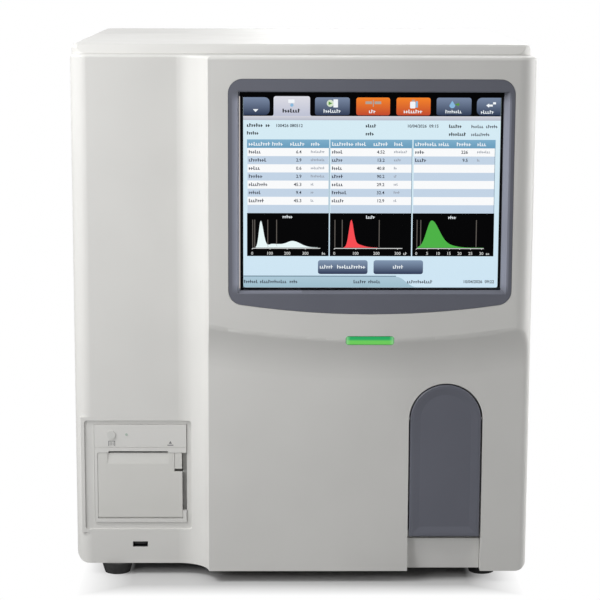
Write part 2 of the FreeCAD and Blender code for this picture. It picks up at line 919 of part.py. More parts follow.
def side_panel(name, side):
    """A panel with flanges that turn in along its top and bottom."""
    body = new_body()
    radius, wall = s.lower_corner_radius, s.wall
    turn, back_turn = (RIGHT, LEFT) if side < 0 else (LEFT, RIGHT)
    outer, inner = side * half_width, side * (half_width - wall)
    bend, lip = side * (half_width - radius), side * (half_width - s.panel_flange)
    pad(body, "XZ_Plane", panel_front, skin_back, [
        (lip, underside), (bend, underside), (outer, underside + radius, radius, turn),
        (outer, cover_top), (lip, cover_top), (lip, cover_top - wall), (inner, cover_top - wall),
        (inner, underside + radius), (bend, underside + wall, radius - wall, back_turn),
        (lip, underside + wall),
    ])
    return subpart(name, body)


def rear_panel():
    gap = s.wall + s.joint_gap
    panel = box(gap - half_width, half_width - gap, rear_inner, skin_back,
                base_top, cover_top - gap)
    start, end = rear_inner - s.overrun, skin_back + s.overrun
    cuts = [
        rod("Y", start, end, fan_x, fan_z, s.fan_bore_radius),
        box(inlet_left - s.joint_gap, inlet_right + s.joint_gap, start, end,
            s.inlet_height - s.inlet_body_height / 2 - s.joint_gap,
            s.inlet_height + s.inlet_body_height / 2 + s.joint_gap),
        box(ports_x - s.ports_width / 2 + s.ports_cut_margin,
            ports_x + s.ports_width / 2 - s.ports_cut_margin, start, end,
            ports_z - s.ports_plate_height / 2 + s.ports_cut_margin,
            ports_z + s.ports_plate_height / 2 - s.ports_cut_margin),
        rod("Y", start, end, stud_x, s.stud_height, s.stud_radius),
    ]
    for x in fitting_xs():
        cuts.append(rod("Y", start, end, x, s.fitting_height, s.fitting_thread_radius))
    for x, z in screw_places():
        cuts.append(rod("Y", start, end, x, z, s.screw_shank_radius))
    notches = [(s.lower_corner_radius, s.lower_corner_radius), (s.panel_flange, s.wall)]
    for side in (-1, 1):
        for reach, rise in notches:
            inside = side * (half_width - reach - s.joint_gap)
            outside = side * (half_width + s.overrun)
            left, right = (outside, inside) if side < 0 else (inside, outside)
            cuts.append(box(left, right, start, end, underside, underside + rise + s.joint_gap))
    return subpart("rear_panel", cut(panel, *cuts))


def fitting_xs():
    return [half_width - s.fitting_margin + index * s.fitting_spacing
            for index in range(FITTING_COUNT)]


def screw_places():
    """Three screws up each side of the rear panel."""
    inset = s.wall + s.screw_inset
    low, high = underside + 2 * s.lower_corner_radius, cover_top - 2 * s.lower_corner_radius
    return [(side * (half_width - inset), low + (high - low) * step / 2)
            for side in (-1, 1) for step in range(3)]


def rear_screws():
    screws = []
    for x, z in screw_places():
        head = rod("Y", skin_back, skin_back + s.screw_head_height, x, z, s.screw_head_radius)
        shank = rod("Y", skin_back - s.screw_length, skin_back, x, z, s.screw_shank_radius)
        screws.append(fuse(head, shank))
    return subpart("rear_screws", group(*screws))


def base_plate():
    """A folded tray that closes the bottom and carries the feet."""
    reach = half_width - s.panel_flange - s.joint_gap
    tray_front, tray_back = column_face + s.wall + s.joint_gap, rear_inner
    rim_top, inner = underside + s.base_rim_height, s.base_thickness
    tray = box(-reach, reach, tray_front, tray_back, underside, rim_top)
    hollow = box(inner - reach, reach - inner, tray_front - s.overrun, tray_back + s.overrun,
                 base_top, rim_top + s.overrun)
    return subpart("base_plate", cut(tray, hollow))


def feet():
    x_reach = half_width - s.foot_inset_x
    y_reach = s.body_depth / 2 - s.foot_inset_y
    pieces = []
    for x in (-x_reach, x_reach):
        for y in (-y_reach, y_reach):
            foot = taper("Z", as_size(0), underside, x, y, s.foot_base_radius, s.foot_top_radius)
            recess = rod("Z", -s.overrun, s.foot_recess_depth, x, y, s.foot_recess_radius)
            pieces.append(cut(foot, recess))
    return subpart("feet", group(*pieces))


def partition_wall():
    """A sheet across the inside, with a foot flange, that carries the fluidics and the board."""
    wall_back = rear_inner - s.joint_gap
    plate = box(partition_x, partition_right, partition_front, wall_back, base_top, partition_top)
    flange = box(partition_x - s.partition_flange, partition_right, partition_front, wall_back,
                 base_top, base_top + s.partition_thickness)
    arm = box(partition_x, partition_right, bracket_front, partition_front,
              s.rail_height - s.bracket_height / 2, s.rail_height + s.bracket_height / 2)
    return subpart("partition_wall", fuse(plate, flange, arm))


# Display

glass_front = front + s.bezel_depth
lcd_front = glass_front + s.glass_thickness
lcd_back = lcd_front + s.lcd_thickness


def screen_bounds(margin):
    """Left, right, low and high of the screen opening, grown by a margin."""
    return (bezel_left + s.screen_left_border - margin, bezel_right - s.screen_right_border + margin,
            s.bezel_low + s.screen_low_border - margin, bezel_top - s.screen_top_border + margin)


def display_bezel():
    body = new_body()
    bezel_back = front + s.bezel_depth
    flange_front = front + s.wall
    pad(body, "XZ_Plane", front, bezel_back, bezel_outline(as_size(0)))
    pad(body, "XZ_Plane", flange_front, flange_front + s.bezel_flange_thickness,
        bezel_outline(s.bezel_flange))
    pocket(body, "XZ_Plane", front - s.overrun, bezel_back + s.overrun,
           rectangle(*screen_bounds(as_size(0))))
    low, high = screen_bounds(as_size(0))[2:]
    soften(body, "Chamfer", s.bezel_slope,
           lambda edge: near(edge.YMin, front) and near(edge.YMax, front)
           and edge.ZMin > low.number - s.nearness.number
           and edge.ZMax < high.number + s.nearness.number
           and edge.XMin > screen_bounds(as_size(0))[0].number - s.nearness.number)
    return subpart("display_bezel", body)


def touch_glass():
    left, right, low, high = screen_bounds(s.glass_margin)
    return subpart("touch_glass", box(left, right, glass_front, lcd_front, low, high))


def lcd_module():
    left, right, low, high = screen_bounds(s.lcd_margin)
    return subpart("lcd_module", box(left, right, lcd_front, lcd_back, low, high))


def display_bracket():
    """A tray of sheet metal that holds the display against the frame's flange."""
    sheet_wall = s.sheet_thickness
    left, right, low, high = screen_bounds(s.glass_margin + s.display_bracket_margin)
    tray = box(left, right, glass_front, lcd_back + sheet_wall, low, high)
    hollow = box(left + sheet_wall, right - sheet_wall, glass_front - s.overrun, lcd_back,
                 low + sheet_wall, high - sheet_wall)
    return subpart("display_bracket", cut(tray, hollow))


def status_lamp():
    """A light guide whose face follows the cover's crease."""
    body = new_body()
    pad(body, "XZ_Plane", front, inner_face, lamp_outline(as_size(0)))
    cut_shelf(body)
    return subpart("status_lamp", body)


# Sample flap and bay

def sample_flap():
    """The arch-shaped plate, bevelled and softly dished, with a barrel behind for its pin."""
    body = new_body()
    plate_back = panel_face + s.flap_thickness
    half = s.flap_half_width
    pad(body, "XZ_Plane", panel_face, plate_back, arch(half, s.flap_low, s.flap_arch_height))
    soften(body, "Chamfer", s.flap_edge_bevel, lambda edge: near(edge.YMin, panel_face)
           and near(edge.YMax, panel_face))
    dish = pocket(body, "XZ_Plane", panel_face, panel_face + s.flap_dish_depth,
                  arch(half - s.flap_dish_margin, s.flap_low + s.flap_dish_margin,
                       s.flap_arch_height))
    bind(dish, TaperAngle=-s.flap_dish_taper)
    reach = half - s.flap_barrel_side_gap
    left, right = flap_middle - reach, flap_middle + reach
    barrel_low = s.flap_arch_height - s.flap_barrel_radius
    pad(body, "YZ_Plane", left, right, [
        (plate_back, barrel_low), (flap_pivot_y, barrel_low),
        (flap_pivot_y + s.flap_barrel_radius, s.flap_arch_height, s.flap_barrel_radius, LEFT),
        (flap_pivot_y, s.flap_arch_height + s.flap_barrel_radius, s.flap_barrel_radius, LEFT),
        (plate_back, s.flap_arch_height + s.flap_barrel_radius),
    ])
    pocket(body, "YZ_Plane", left - s.overrun, right + s.overrun,
           (flap_pivot_y, s.flap_arch_height, s.flap_pin_radius + s.running_gap))
    return subpart("sample_flap", body)


def flap_pin():
    reach = s.flap_half_width + s.flap_gap + s.flap_flange_wall
    return subpart("flap_pin", rod("X", flap_middle - reach, flap_middle + reach,
                                   flap_pivot_y, s.flap_arch_height, s.flap_pin_radius))


def sample_bay():
    """The moulded liner behind the flap, with the finger niche as its skirt."""
    half, wall = s.bay_half_width, s.wall
    middle = flap_middle
    shell = box(middle - half, middle + half, flap_flange_back, bay_back, s.bay_low, s.bay_high)
    hollow = box(middle - half + wall, middle + half - wall, flap_flange_back - s.overrun,
                 bay_back - wall, s.bay_low + wall, s.bay_high - wall)
    probe_hole = rod("Z", s.bay_high - wall - s.overrun, s.bay_high + s.overrun, middle, tube_y,
                     s.probe_hole_radius)
    return subpart("sample_bay", fuse(cut(shell, hollow, probe_hole), niche_skirt()))


def niche_skirt():
    body = new_body()
    reach = s.flap_half_width + s.flap_gap - s.joint_gap
    top_y, low_y = panel_face + s.niche_top_setback, panel_face + s.niche_low_setback
    groove_y = top_y + s.niche_groove
    top = s.flap_low - s.niche_top_drop
    shelf = s.bay_low + s.wall
    skirt_back = low_y + s.niche_wall
    pad(body, "YZ_Plane", flap_middle - reach, flap_middle + reach, [
        (top_y, top), (low_y, underside), (skirt_back, underside), (skirt_back, s.bay_low),
        (flap_flange_back + s.wall, s.bay_low), (flap_flange_back + s.wall, shelf),
        (groove_y, shelf), (groove_y, top),
    ])
    return body


def tube_holder():
    floor = s.bay_low + s.wall
    high = floor + s.tube_holder_floor + s.tube_bore_depth
    post = rod("Z", floor, high, flap_middle, tube_y, s.tube_holder_radius)
    bore = rod("Z", high - s.tube_bore_depth, high + s.overrun, flap_middle, tube_y,
               s.tube_bore_radius)
    return subpart("tube_holder", cut(post, bore))


# Sampling mechanism

bracket_front = lcd_back + s.sheet_thickness + s.bracket_front_gap
bracket_back = bracket_front + s.rail_span
rail_xs = [flap_middle + side * s.rail_spacing / 2 for side in (-1, 1)]
lift_rod_xs = [flap_middle + side * s.lift_rod_spacing / 2 for side in (-1, 1)]
frame_front, frame_back = tube_y - s.frame_length / 2, tube_y + s.frame_length / 2
frame_low, frame_high = s.rail_height - s.frame_height / 2, s.rail_height + s.frame_height / 2
lift_rod_low = s.bay_high + s.wiper_height + s.lift_rod_gap
lift_screw_y = tube_y + s.lift_screw_offset
carriage_high = frame_low - s.carriage_gap
carriage_low = carriage_high - s.carriage_height


def traverse_bracket():
    """A channel on the partition wall whose two ends hold the rails."""
    thick = s.bracket_thickness
    low, high = s.rail_height - s.bracket_height / 2, s.rail_height + s.bracket_height / 2
    channel = box(partition_right, partition_right + s.bracket_reach, bracket_front, bracket_back,
                  low, high)
    hollow = box(partition_right + thick, partition_right + s.bracket_reach + s.overrun,
                 bracket_front + thick, bracket_back - thick, low - s.overrun, high + s.overrun)
    holes = [rod("Y", bracket_front - s.overrun, bracket_back + s.overrun, x, s.rail_height,
                 s.rail_radius) for x in rail_xs]
    screw_hole = rod("Y", bracket_front - s.overrun, bracket_back + s.overrun, flap_middle,
                     s.rail_height, s.screw_radius + s.running_gap)
    return subpart("traverse_bracket", cut(channel, hollow, screw_hole, *holes))


def traverse_rails():
    rails = [rod("Y", bracket_front, bracket_back, x, s.rail_height, s.rail_radius)
             for x in rail_xs]
    return subpart("traverse_rails", group(*rails))


def traverse_screw():
    return subpart("traverse_screw", rod("Y", bracket_front, bracket_back + s.overrun,
                                         flap_middle, s.rail_height, s.screw_radius))


def motor(name, axis, start, end, first, second, shaft_start, shaft_end):
    """A square stepping motor with its pilot disc, cut clear for the screw it turns."""
    half = s.motor_width / 2
    spans = {"Y": (first - half, first + half, start, end, second - half, second + half),
             "Z": (first - half, first + half, second - half, second + half, start, end)}
    block = box(*spans[axis])
    hole = rod(axis, shaft_start, shaft_end, first, second, s.screw_radius + s.running_gap)
    return subpart(name, cut(block, hole))


def traverse_motor():
    return motor("traverse_motor", "Y", bracket_back, bracket_back + s.motor_height,
                 flap_middle, s.rail_height, bracket_back - s.overrun,
                 bracket_back + s.overrun + s.joint_gap)


def traverse_frame():
    """The block that runs on the rails and carries the upright lift rods."""
    half = s.frame_width / 2
    middle = flap_middle
    block = box(middle - half, middle + half, frame_front, frame_back, frame_low, frame_high)
    start, end = frame_front - s.overrun, frame_back + s.overrun
    holes = [rod("Y", start, end, x, s.rail_height, s.rail_radius + s.running_gap)
             for x in rail_xs]
    nut = rod("Y", start, end, middle, s.rail_height, s.screw_radius + 2 * s.running_gap)
    rods = [rod("Z", lift_rod_low, frame_low, x, tube_y, s.lift_rod_radius) for x in lift_rod_xs]
    reach = s.lift_rod_spacing / 2 + 2 * s.lift_rod_radius
    tie = box(middle - reach, middle + reach, tube_y - 2 * s.lift_rod_radius,
              lift_screw_y + 2 * s.lift_rod_radius, lift_rod_low,
              lift_rod_low + s.lift_tie_height)
    low, high = lift_rod_low - s.overrun, lift_rod_low + s.lift_tie_height + s.overrun
    probe_way = rod("Z", low, high, middle, tube_y, s.probe_hole_radius)
    screw_seat = rod("Z", low, high, middle, lift_screw_y, s.screw_radius + s.running_gap)
    return subpart("traverse_frame", fuse(cut(block, nut, *holes),
                                          cut(fuse(tie, *rods), probe_way, screw_seat)))


def lift_screw():
    return subpart("lift_screw", rod("Z", lift_rod_low, frame_low - s.joint_gap, flap_middle,
                                     lift_screw_y, s.screw_radius))


def lift_motor():
    half = s.motor_width / 2
    block = box(flap_middle - half, flap_middle + half, tube_y - half + s.lift_screw_offset,
                tube_y + half, frame_high, frame_high + s.motor_height)
    return subpart("lift_motor", block)


def lift_carriage():
    middle = flap_middle
    half_w, half_d = s.carriage_width / 2, s.carriage_depth / 2
    block = box(middle - half_w, middle + half_w, tube_y - half_d, tube_y + half_d,
                carriage_low, carriage_high)
    start, end = carriage_low - s.overrun, carriage_high + s.overrun
    holes = [rod("Z", start, end, x, tube_y, s.lift_rod_radius + s.running_gap)
             for x in lift_rod_xs]
    nut = rod("Z", start, end, middle, lift_screw_y, s.screw_radius + 2 * s.running_gap)
    needle = rod("Z", start, end, middle, tube_y, s.probe_radius)
    return subpart("lift_carriage", cut(block, nut, needle, *holes))


def sample_probe():
    middle = flap_middle
    hub_high = carriage_high + s.probe_hub_height
    needle = rod("Z", lift_rod_low + s.probe_tip_rise, hub_high, middle, tube_y, s.probe_radius)
    hub = rod("Z", carriage_high, hub_high, middle, tube_y, s.probe_hub_radius)
    return subpart("sample_probe", fuse(needle, hub))


def probe_wiper():
    block = rod("Z", s.bay_high, s.bay_high + s.wiper_height, flap_middle, tube_y,
                s.wiper_radius)
    hole = rod("Z", s.bay_high - s.overrun, s.bay_high + s.wiper_height + s.overrun,
               flap_middle, tube_y, s.probe_hole_radius)
    return subpart("probe_wiper", cut(block, hole))


# Baths, syringes, valves and pumps

def bath_bracket():
    thick = s.bath_shelf_thickness
    shelf_front = bath_y - 2 * s.bath_outer_radius
    shelf_back = bath_y + s.bath_spacing + 2 * s.bath_outer_radius
    reach = flap_middle + 2 * s.bath_outer_radius
    low = s.bath_shelf_height - thick
    shelf = box(partition_right, reach, shelf_front, shelf_back, low, s.bath_shelf_height)
    web = box(partition_right, partition_right + thick, shelf_front, shelf_back,
              low - s.bath_outer_radius, low)
    return subpart("bath_bracket", fuse(shelf, web))


def bath_ys():
    return [bath_y, bath_y + s.bath_spacing]


def counting_baths():
    cups = []
    for y in bath_ys():
        half = s.bath_outer_radius
        low = s.bath_shelf_height
        high = low + s.bath_height
        base = box(flap_middle - half, flap_middle + half, y - half, y + half, low,
                   low + s.bath_base_height)
        cup = rod("Z", low, high, flap_middle, y, s.bath_outer_radius)
        well = rod("Z", low + 2 * s.bath_floor, high + s.overrun, flap_middle, y,
                   s.bath_inner_radius)
        drain = taper("Z", low + s.bath_floor, low + 2 * s.bath_floor, flap_middle, y,
                      s.bath_inner_radius / 3, s.bath_inner_radius)
        cups.append(cut(fuse(base, cup), well, drain))
    return subpart("counting_baths", group(*cups))


syringe_x = partition_right + s.syringe_reach
syringe_front = bracket_back + s.motor_height + s.syringe_front_gap
syringe_back = syringe_front + s.syringe_frame_width
syringe_middle_y = (syringe_front + syringe_back) / 2
diluent_y = syringe_middle_y - s.syringe_spacing / 2
lyse_y = syringe_middle_y + s.syringe_spacing / 2
seat_top = s.syringe_seat_height + s.syringe_plate_thickness
barrel_top = seat_top + s.barrel_height
crosshead_top = s.crosshead_height + s.crosshead_thickness


def syringe_frame():
    thick = s.syringe_plate_thickness
    right = partition_right + s.syringe_frame_reach
    spine = box(partition_right, partition_right + thick, syringe_front, syringe_back,
                s.syringe_frame_low, s.syringe_frame_high)
    shelves = [box(partition_right, right, syringe_front, syringe_back, low, low + thick)
               for low in (s.syringe_frame_low, s.syringe_seat_height,
                           s.syringe_frame_high - thick)]
    low, high = s.syringe_seat_height - s.overrun, seat_top + s.overrun
    rod_ways = [rod("Z", low, high, syringe_x, y, 2 * s.plunger_rod_radius)
                for y in (diluent_y, lyse_y)]
    top_way = rod("Z", low, high, syringe_x, syringe_middle_y,
                  s.screw_radius + s.running_gap)
    low_way = rod("Z", s.syringe_frame_low - s.overrun, s.syringe_frame_low + thick + s.overrun,
                  syringe_x, syringe_middle_y, s.screw_radius + s.running_gap)
    return subpart("syringe_frame", cut(fuse(spine, *shelves), top_way, low_way, *rod_ways))


def syringe_barrel(name, y, outer, bore):
    barrel = rod("Z", seat_top, barrel_top, syringe_x, y, outer)
    hollow = rod("Z", seat_top - s.overrun, barrel_top - s.barrel_cap_height, syringe_x, y, bore)
    port = rod("Z", barrel_top, s.syringe_frame_high - s.syringe_plate_thickness, syringe_x, y,
               bore / 2)
    return subpart(name, fuse(cut(barrel, hollow), port))


def syringe_plunger(name, y, bore):
    head_low = seat_top + s.plunger_rest_lift
    head = rod("Z", head_low, head_low + s.plunger_head_height, syringe_x, y,
               bore - s.running_gap)
    stem = rod("Z", crosshead_top, head_low, syringe_x, y, s.plunger_rod_radius)
    return subpart(name, fuse(head, stem))


def plunger_crosshead():
    half_l, half_w = s.crosshead_length / 2, s.crosshead_width / 2
    block = box(syringe_x - half_w, syringe_x + half_w, syringe_middle_y - half_l,
                syringe_middle_y + half_l, s.crosshead_height, crosshead_top)
    nut = rod("Z", s.crosshead_height - s.overrun, crosshead_top + s.overrun, syringe_x,
              syringe_middle_y, s.screw_radius + 2 * s.running_gap)
    return subpart("plunger_crosshead", cut(block, nut))


def syringe_screw():
    return subpart("syringe_screw", rod("Z", s.syringe_frame_low - s.overrun, seat_top,
                                        syringe_x, syringe_middle_y, s.screw_radius))


def syringe_motor():
    return motor("syringe_motor", "Z", base_top, s.syringe_frame_low, syringe_x,
                 syringe_middle_y, s.syringe_frame_low - s.overrun - s.joint_gap,
                 s.syringe_frame_low + s.overrun)


def valve_bank():
    """A manifold block with two rows of solenoid valves."""
    block_right = partition_right + s.valve_block_depth
    block_back = syringe_front - s.valve_block_gap
    block_front = block_back - s.valve_block_width
    pieces = [box(partition_right, block_right, block_front, block_back,
                  s.valve_block_low, s.valve_block_low + s.valve_block_height)]
    for column in range(2):
        y = block_front + s.valve_block_width * (2 * column + 1) / 4
        for level in range(3):
            z = s.valve_block_low + s.valve_block_height * (2 * level + 1) / 6
            end = block_right + s.valve_reach
            pieces.append(rod("X", block_right, end, y, z, s.valve_radius))
            pieces.append(rod("X", end, end + s.valve_cap_reach, y, z, s.valve_cap_radius))
    return subpart("valve_bank", fuse(*pieces))


def vacuum_chamber():
    high = base_top + s.chamber_height
    x, y = half_width - s.chamber_right_margin, syringe_front - s.chamber_lead
    jar = rod("Z", base_top, high, x, y, s.chamber_radius)
    cap = rod("Z", high, high + s.chamber_cap_height, x, y, s.chamber_cap_radius)
    return subpart("vacuum_chamber", fuse(jar, cap))


pump_x, pump_y = partition_right + s.pump_reach, syringe_front - s.pump_lead
pump_head_low = base_top + s.pump_motor_height
pump_head_high = pump_head_low + s.pump_head_height
rotor_low = pump_head_low + s.pump_floor + s.joint_gap


def waste_pump():
    """A peristaltic pump: a motor under a ring that the rotor turns in."""
    half = s.pump_width / 2
    motor_block = rod("Z", base_top, pump_head_low, pump_x, pump_y,
                      half - 2 * s.rotor_bore_radius)
    head = box(pump_x - half, pump_x + half, pump_y - half, pump_y + half,
               pump_head_low, pump_head_high)
    cavity = rod("Z", pump_head_low + s.pump_floor, pump_head_high + s.overrun, pump_x,
                 pump_y, s.pump_cavity_radius)
    shaft = rod("Z", pump_head_low, pump_head_high, pump_x, pump_y, s.rotor_bore_radius)
    return subpart("waste_pump", fuse(cut(fuse(motor_block, head), cavity), shaft))


def pump_rotor():
    body = new_body()
    high = rotor_low + s.rotor_height
    pad(body, "XY_Plane", rotor_low, high, (pump_x, pump_y, s.rotor_arm_radius))
    for step in range(3):
        angle = FULL_TURN * step / 3
        x = pump_x + s.rotor_arm_radius * cosine(angle)
        y = pump_y + s.rotor_arm_radius * sine(angle)
        pad(body, "XY_Plane", rotor_low, high, (x, y, s.rotor_roller_radius))
    pocket(body, "XY_Plane", rotor_low - s.overrun, high + s.overrun,
           (pump_x, pump_y, s.rotor_bore_radius + s.running_gap))
    return subpart("pump_rotor", body)


# Electronics

def main_board():
    board_right = partition_x - s.board_standoff
    board_left = board_right - s.board_thickness
    board_front = partition_front + s.board_front_gap
    board_back = board_front + s.board_length
    board_high = partition_top - s.board_top_gap
    inset = s.board_hole_inset
    pieces = [box(board_left, board_right, board_front, board_back, s.board_low, board_high)]
    for y in (board_front + inset, board_back - inset):
        for z in (s.board_low + inset, board_high - inset):
            pieces.append(rod("X", board_right, partition_x, y, z, s.standoff_radius))
    sink_front, sink_low = board_front + s.board_length / 2, (s.board_low + board_high) / 2
    sink_back = sink_front + s.heat_sink_length
    sink_high = sink_low + s.heat_sink_height
    pieces.append(box(board_left - s.heat_sink_base, board_left, sink_front, sink_back,
                      sink_low, sink_high))
    pitch = (s.heat_sink_length - s.heat_sink_fin) / (HEAT_SINK_FIN_COUNT - 1)
    for index in range(HEAT_SINK_FIN_COUNT):
        y = sink_front + index * pitch
        pieces.append(box(board_left - s.heat_sink_reach, board_left, y, y + s.heat_sink_fin,
                          sink_low, sink_high))
    for index in range(4):
        y = board_front + 2 * inset + index * (s.connector_length + inset)
        z = s.board_low + inset
        pieces.append(box(board_left - s.connector_reach, board_left, y, y + s.connector_length,
                          z, z + s.connector_height))
    return subpart("main_board", fuse(*pieces))


def power_supply():
    left, end = s.supply_side_gap - half_width, rear_inner - s.supply_rear_gap
    right, start = left + s.supply_width, end - s.supply_length
    high = base_top + s.supply_height
    case = box(left, right, start, end, base_top, high)
    slots = []
    middle = (start + end) / 2
    for index in range(SUPPLY_SLOT_COUNT):
        x = left + s.supply_width * (index + 1) / (SUPPLY_SLOT_COUNT + 1)
        slots.append(box(x - s.supply_slot_width / 2, x + s.supply_slot_width / 2,
                         middle - s.supply_slot_length / 2, middle + s.supply_slot_length / 2,
                         high - s.supply_slot_width, high + s.overrun))
    return subpart("power_supply", cut(case, *slots))


fan_back = rear_inner
fan_front = fan_back - s.fan_depth
rotor_front = fan_front + s.fan_web_thickness + s.joint_gap
rotor_back = fan_back - s.fan_web_thickness


def fan_frame():
    """A square ring, with spokes that hold the hub and its shaft in the air path."""
    body = new_body()
    half = s.fan_width / 2
    x, z = fan_x, fan_z
    pad(body, "XZ_Plane", fan_front, fan_back,
        rounded_rectangle(x - half, x + half, z - half, z + half, s.fan_corner_radius),
        (x, z, s.fan_bore_radius))
    web_back = fan_front + s.fan_web_thickness
    pad(body, "XZ_Plane", fan_front, web_back, (x, z, s.fan_hub_radius))
    reach, spoke = s.fan_bore_radius + s.fan_spoke_width / 4, s.fan_spoke_width / 2
    pad(body, "XZ_Plane", fan_front, web_back, rectangle(x - reach, x + reach, z - spoke, z + spoke))
    pad(body, "XZ_Plane", fan_front, web_back, rectangle(x - spoke, x + spoke, z - reach, z + reach))
    pad(body, "XZ_Plane", web_back, web_back + s.fan_shaft_length, (x, z, s.fan_shaft_radius))
    return subpart("fan_frame", body)


def fan_rotor():
    """A hub with leaning blades, repeated round its axis by a pattern."""
    body = new_body()
    centre = as_size(0)
    hub = pad(body, "XZ_Plane", rotor_front, rotor_back, (centre, centre, s.fan_hub_radius))
    hub_sketch = hub.Profile[0]
    bind(hub_sketch, AttachmentOffset__Base__x=fan_x, AttachmentOffset__Base__y=fan_z)
    blade_front, blade_back = rotor_front + s.fan_blade_inset, rotor_back - s.fan_blade_inset
    lean = (blade_back - blade_front) / 2 * sine(s.fan_blade_lean_angle)
    lean = lean / cosine(s.fan_blade_lean_angle)
    half = s.fan_blade_thickness / 2 / cosine(s.fan_blade_lean_angle)
    low, high = fan_z - lean, fan_z + lean
    blade = pad(body, "YZ_Plane", fan_x + s.fan_hub_radius * BLADE_ROOT_SHARE,
                fan_x + s.fan_blade_reach, [
                    (blade_front, low - half), (blade_back, high - half),
                    (blade_back, high + half), (blade_front, low + half),
                ])
    blades = body.newObject("PartDesign::PolarPattern", "blades")
    blades.Originals = [blade]
    blades.Axis = (hub_sketch, ["N_Axis"])
    blades.Angle = FULL_TURN
    blades.Occurrences = FAN_BLADE_COUNT
    body.Tip = blades
    pocket(body, "XZ_Plane", rotor_front - s.overrun, rotor_front + s.fan_shaft_length,
           (fan_x, fan_z, s.fan_shaft_radius + s.running_gap))
    return subpart("fan_rotor", body)


def fan_guard():
    """A flat stamped guard: rings joined by a cross of bars, over the fan opening."""
    end = skin_back + s.guard_thickness
    x, z = fan_x, fan_z
    half = s.guard_bar / 2
    rings = []
    for index in range(GUARD_RING_COUNT):
        radius = s.guard_ring_step * (index + 1)
        ring = rod("Y", skin_back, end, x, z, radius + half)
        hole = rod("Y", skin_back - s.overrun, end + s.overrun, x, z, radius - half)
        rings.append(cut(ring, hole))
    reach = s.fan_bore_radius + s.guard_bar
    bars = [box(x - reach, x + reach, skin_back, end, z - half, z + half),
            box(x - half, x + half, skin_back, end, z - reach, z + reach)]
    return subpart("fan_guard", fuse(*rings, *bars))


rocker_x = inlet_x - s.rocker_offset
rocker_pivot_y = skin_back + s.inlet_flange_thickness


def power_inlet():
    """A mains inlet socket and the well of the power switch, behind one flange."""
    body = new_body()
    body_back = skin_back
    flange_back = skin_back + s.inlet_flange_thickness
    margin = s.inlet_flange_margin
    low, high = s.inlet_height - s.inlet_body_height / 2, s.inlet_height + s.inlet_body_height / 2
    pad(body, "XZ_Plane", body_back, flange_back,
        rounded_rectangle(inlet_left - margin, inlet_right + margin, low - margin, high + margin,
                          s.socket_corner_radius))
    pad(body, "XZ_Plane", body_back - s.inlet_body_depth, body_back,
        rectangle(inlet_left, inlet_right, low, high))
    socket_x = inlet_x + s.socket_offset
    socket_low = s.inlet_height - s.socket_height / 2
    pocket(body, "XZ_Plane", flange_back - s.socket_depth, flange_back + s.overrun,
           rounded_rectangle(socket_x - s.socket_width / 2, socket_x + s.socket_width / 2,
                             socket_low, socket_low + s.socket_height, s.socket_corner_radius))
    for offset in (-1, 0, 1):
        x = socket_x + offset * s.blade_spacing
        z = s.inlet_height + (s.blade_rise if offset == 0 else -s.blade_rise)
        pad(body, "XZ_Plane", flange_back - s.socket_depth,
            flange_back - s.socket_depth + s.blade_length,
            rectangle(x - s.blade_width / 2, x + s.blade_width / 2,
                      z - s.blade_height / 2, z + s.blade_height / 2))
    well_half, gap = s.rocker_width / 2, s.rocker_side_gap
    pocket(body, "XZ_Plane", flange_back - s.rocker_well_depth, flange_back + s.overrun,
           rectangle(rocker_x - well_half - gap, rocker_x + well_half + gap,
                     s.inlet_height - s.rocker_height / 2 - gap,
                     s.inlet_height + s.rocker_height / 2 + gap))
    return subpart("power_inlet", body)


def power_rocker():
    """A see-saw key whose lower half stands pressed in."""
    body = new_body()
    half, reach = s.rocker_width / 2, s.rocker_height / 2
    face = rocker_pivot_y
    pad(body, "YZ_Plane", rocker_x - half, rocker_x + half, [
        (face - s.rocker_depth, s.inlet_height - reach),
        (face - s.rocker_sink, s.inlet_height - reach),
        (face, s.inlet_height),
        (face + s.rocker_lift, s.inlet_height + reach),
        (face - s.rocker_depth, s.inlet_height + reach),
    ])
    pad(body, "YZ_Plane", rocker_x - half - s.rocker_side_gap + s.running_gap,
        rocker_x + half + s.rocker_side_gap - s.running_gap,
        (rocker_pivot_y - s.rocker_depth / 2, s.inlet_height, s.rocker_pin_radius))
    return subpart("power_rocker", body)


def data_ports():
    """A plate with one wide socket and a row of small ones."""
    left = ports_x - s.ports_width / 2
    plate_back = skin_back + s.ports_thickness
    low = ports_z - s.ports_plate_height / 2
    plate = box(left, left + s.ports_width, skin_back, plate_back, low, low + s.ports_plate_height)
    shells, holes = [], []
    sockets = [(left + s.port_spacing, s.wide_port_width, s.wide_port_height)]
    for index in range(SMALL_PORT_COUNT):
        sockets.append((left + (index + 2) * s.port_spacing, s.small_port_width,
                        s.small_port_height))
    for x, width, height in sockets:
        wall, z = s.port_wall, ports_z
        shells.append(box(x - width / 2 - wall, x + width / 2 + wall, plate_back - s.port_depth,
                          plate_back, z - height / 2 - wall, z + height / 2 + wall))
        holes.append(box(x - width / 2, x + width / 2, plate_back - s.port_depth + wall,
                         plate_back + s.overrun, z - height / 2, z + height / 2))
    return subpart("data_ports", cut(fuse(plate, *shells), *holes))


def fluid_fittings():
    """Four hose fittings: a hexagon outside, a plain stem for the hose, a thread inside."""
    pieces = []
    z = s.fitting_height
    for x in fitting_xs():
        nut_back = skin_back + s.fitting_hex_thickness
        nut = hexagon("Y", skin_back, nut_back, x, z, s.fitting_hex_width)
        stem = rod("Y", nut_back, back, x, z, s.fitting_stem_radius)
        thread = rod("Y", skin_back - s.fitting_thread_length, skin_back, x, z,
                     s.fitting_thread_radius)
        bore = rod("Y", skin_back - s.fitting_thread_length - s.overrun, back + s.overrun, x, z,
                   s.fitting_bore_radius)
        pieces.append(cut(fuse(nut, stem, thread), bore))
    return subpart("fluid_fittings", group(*pieces))


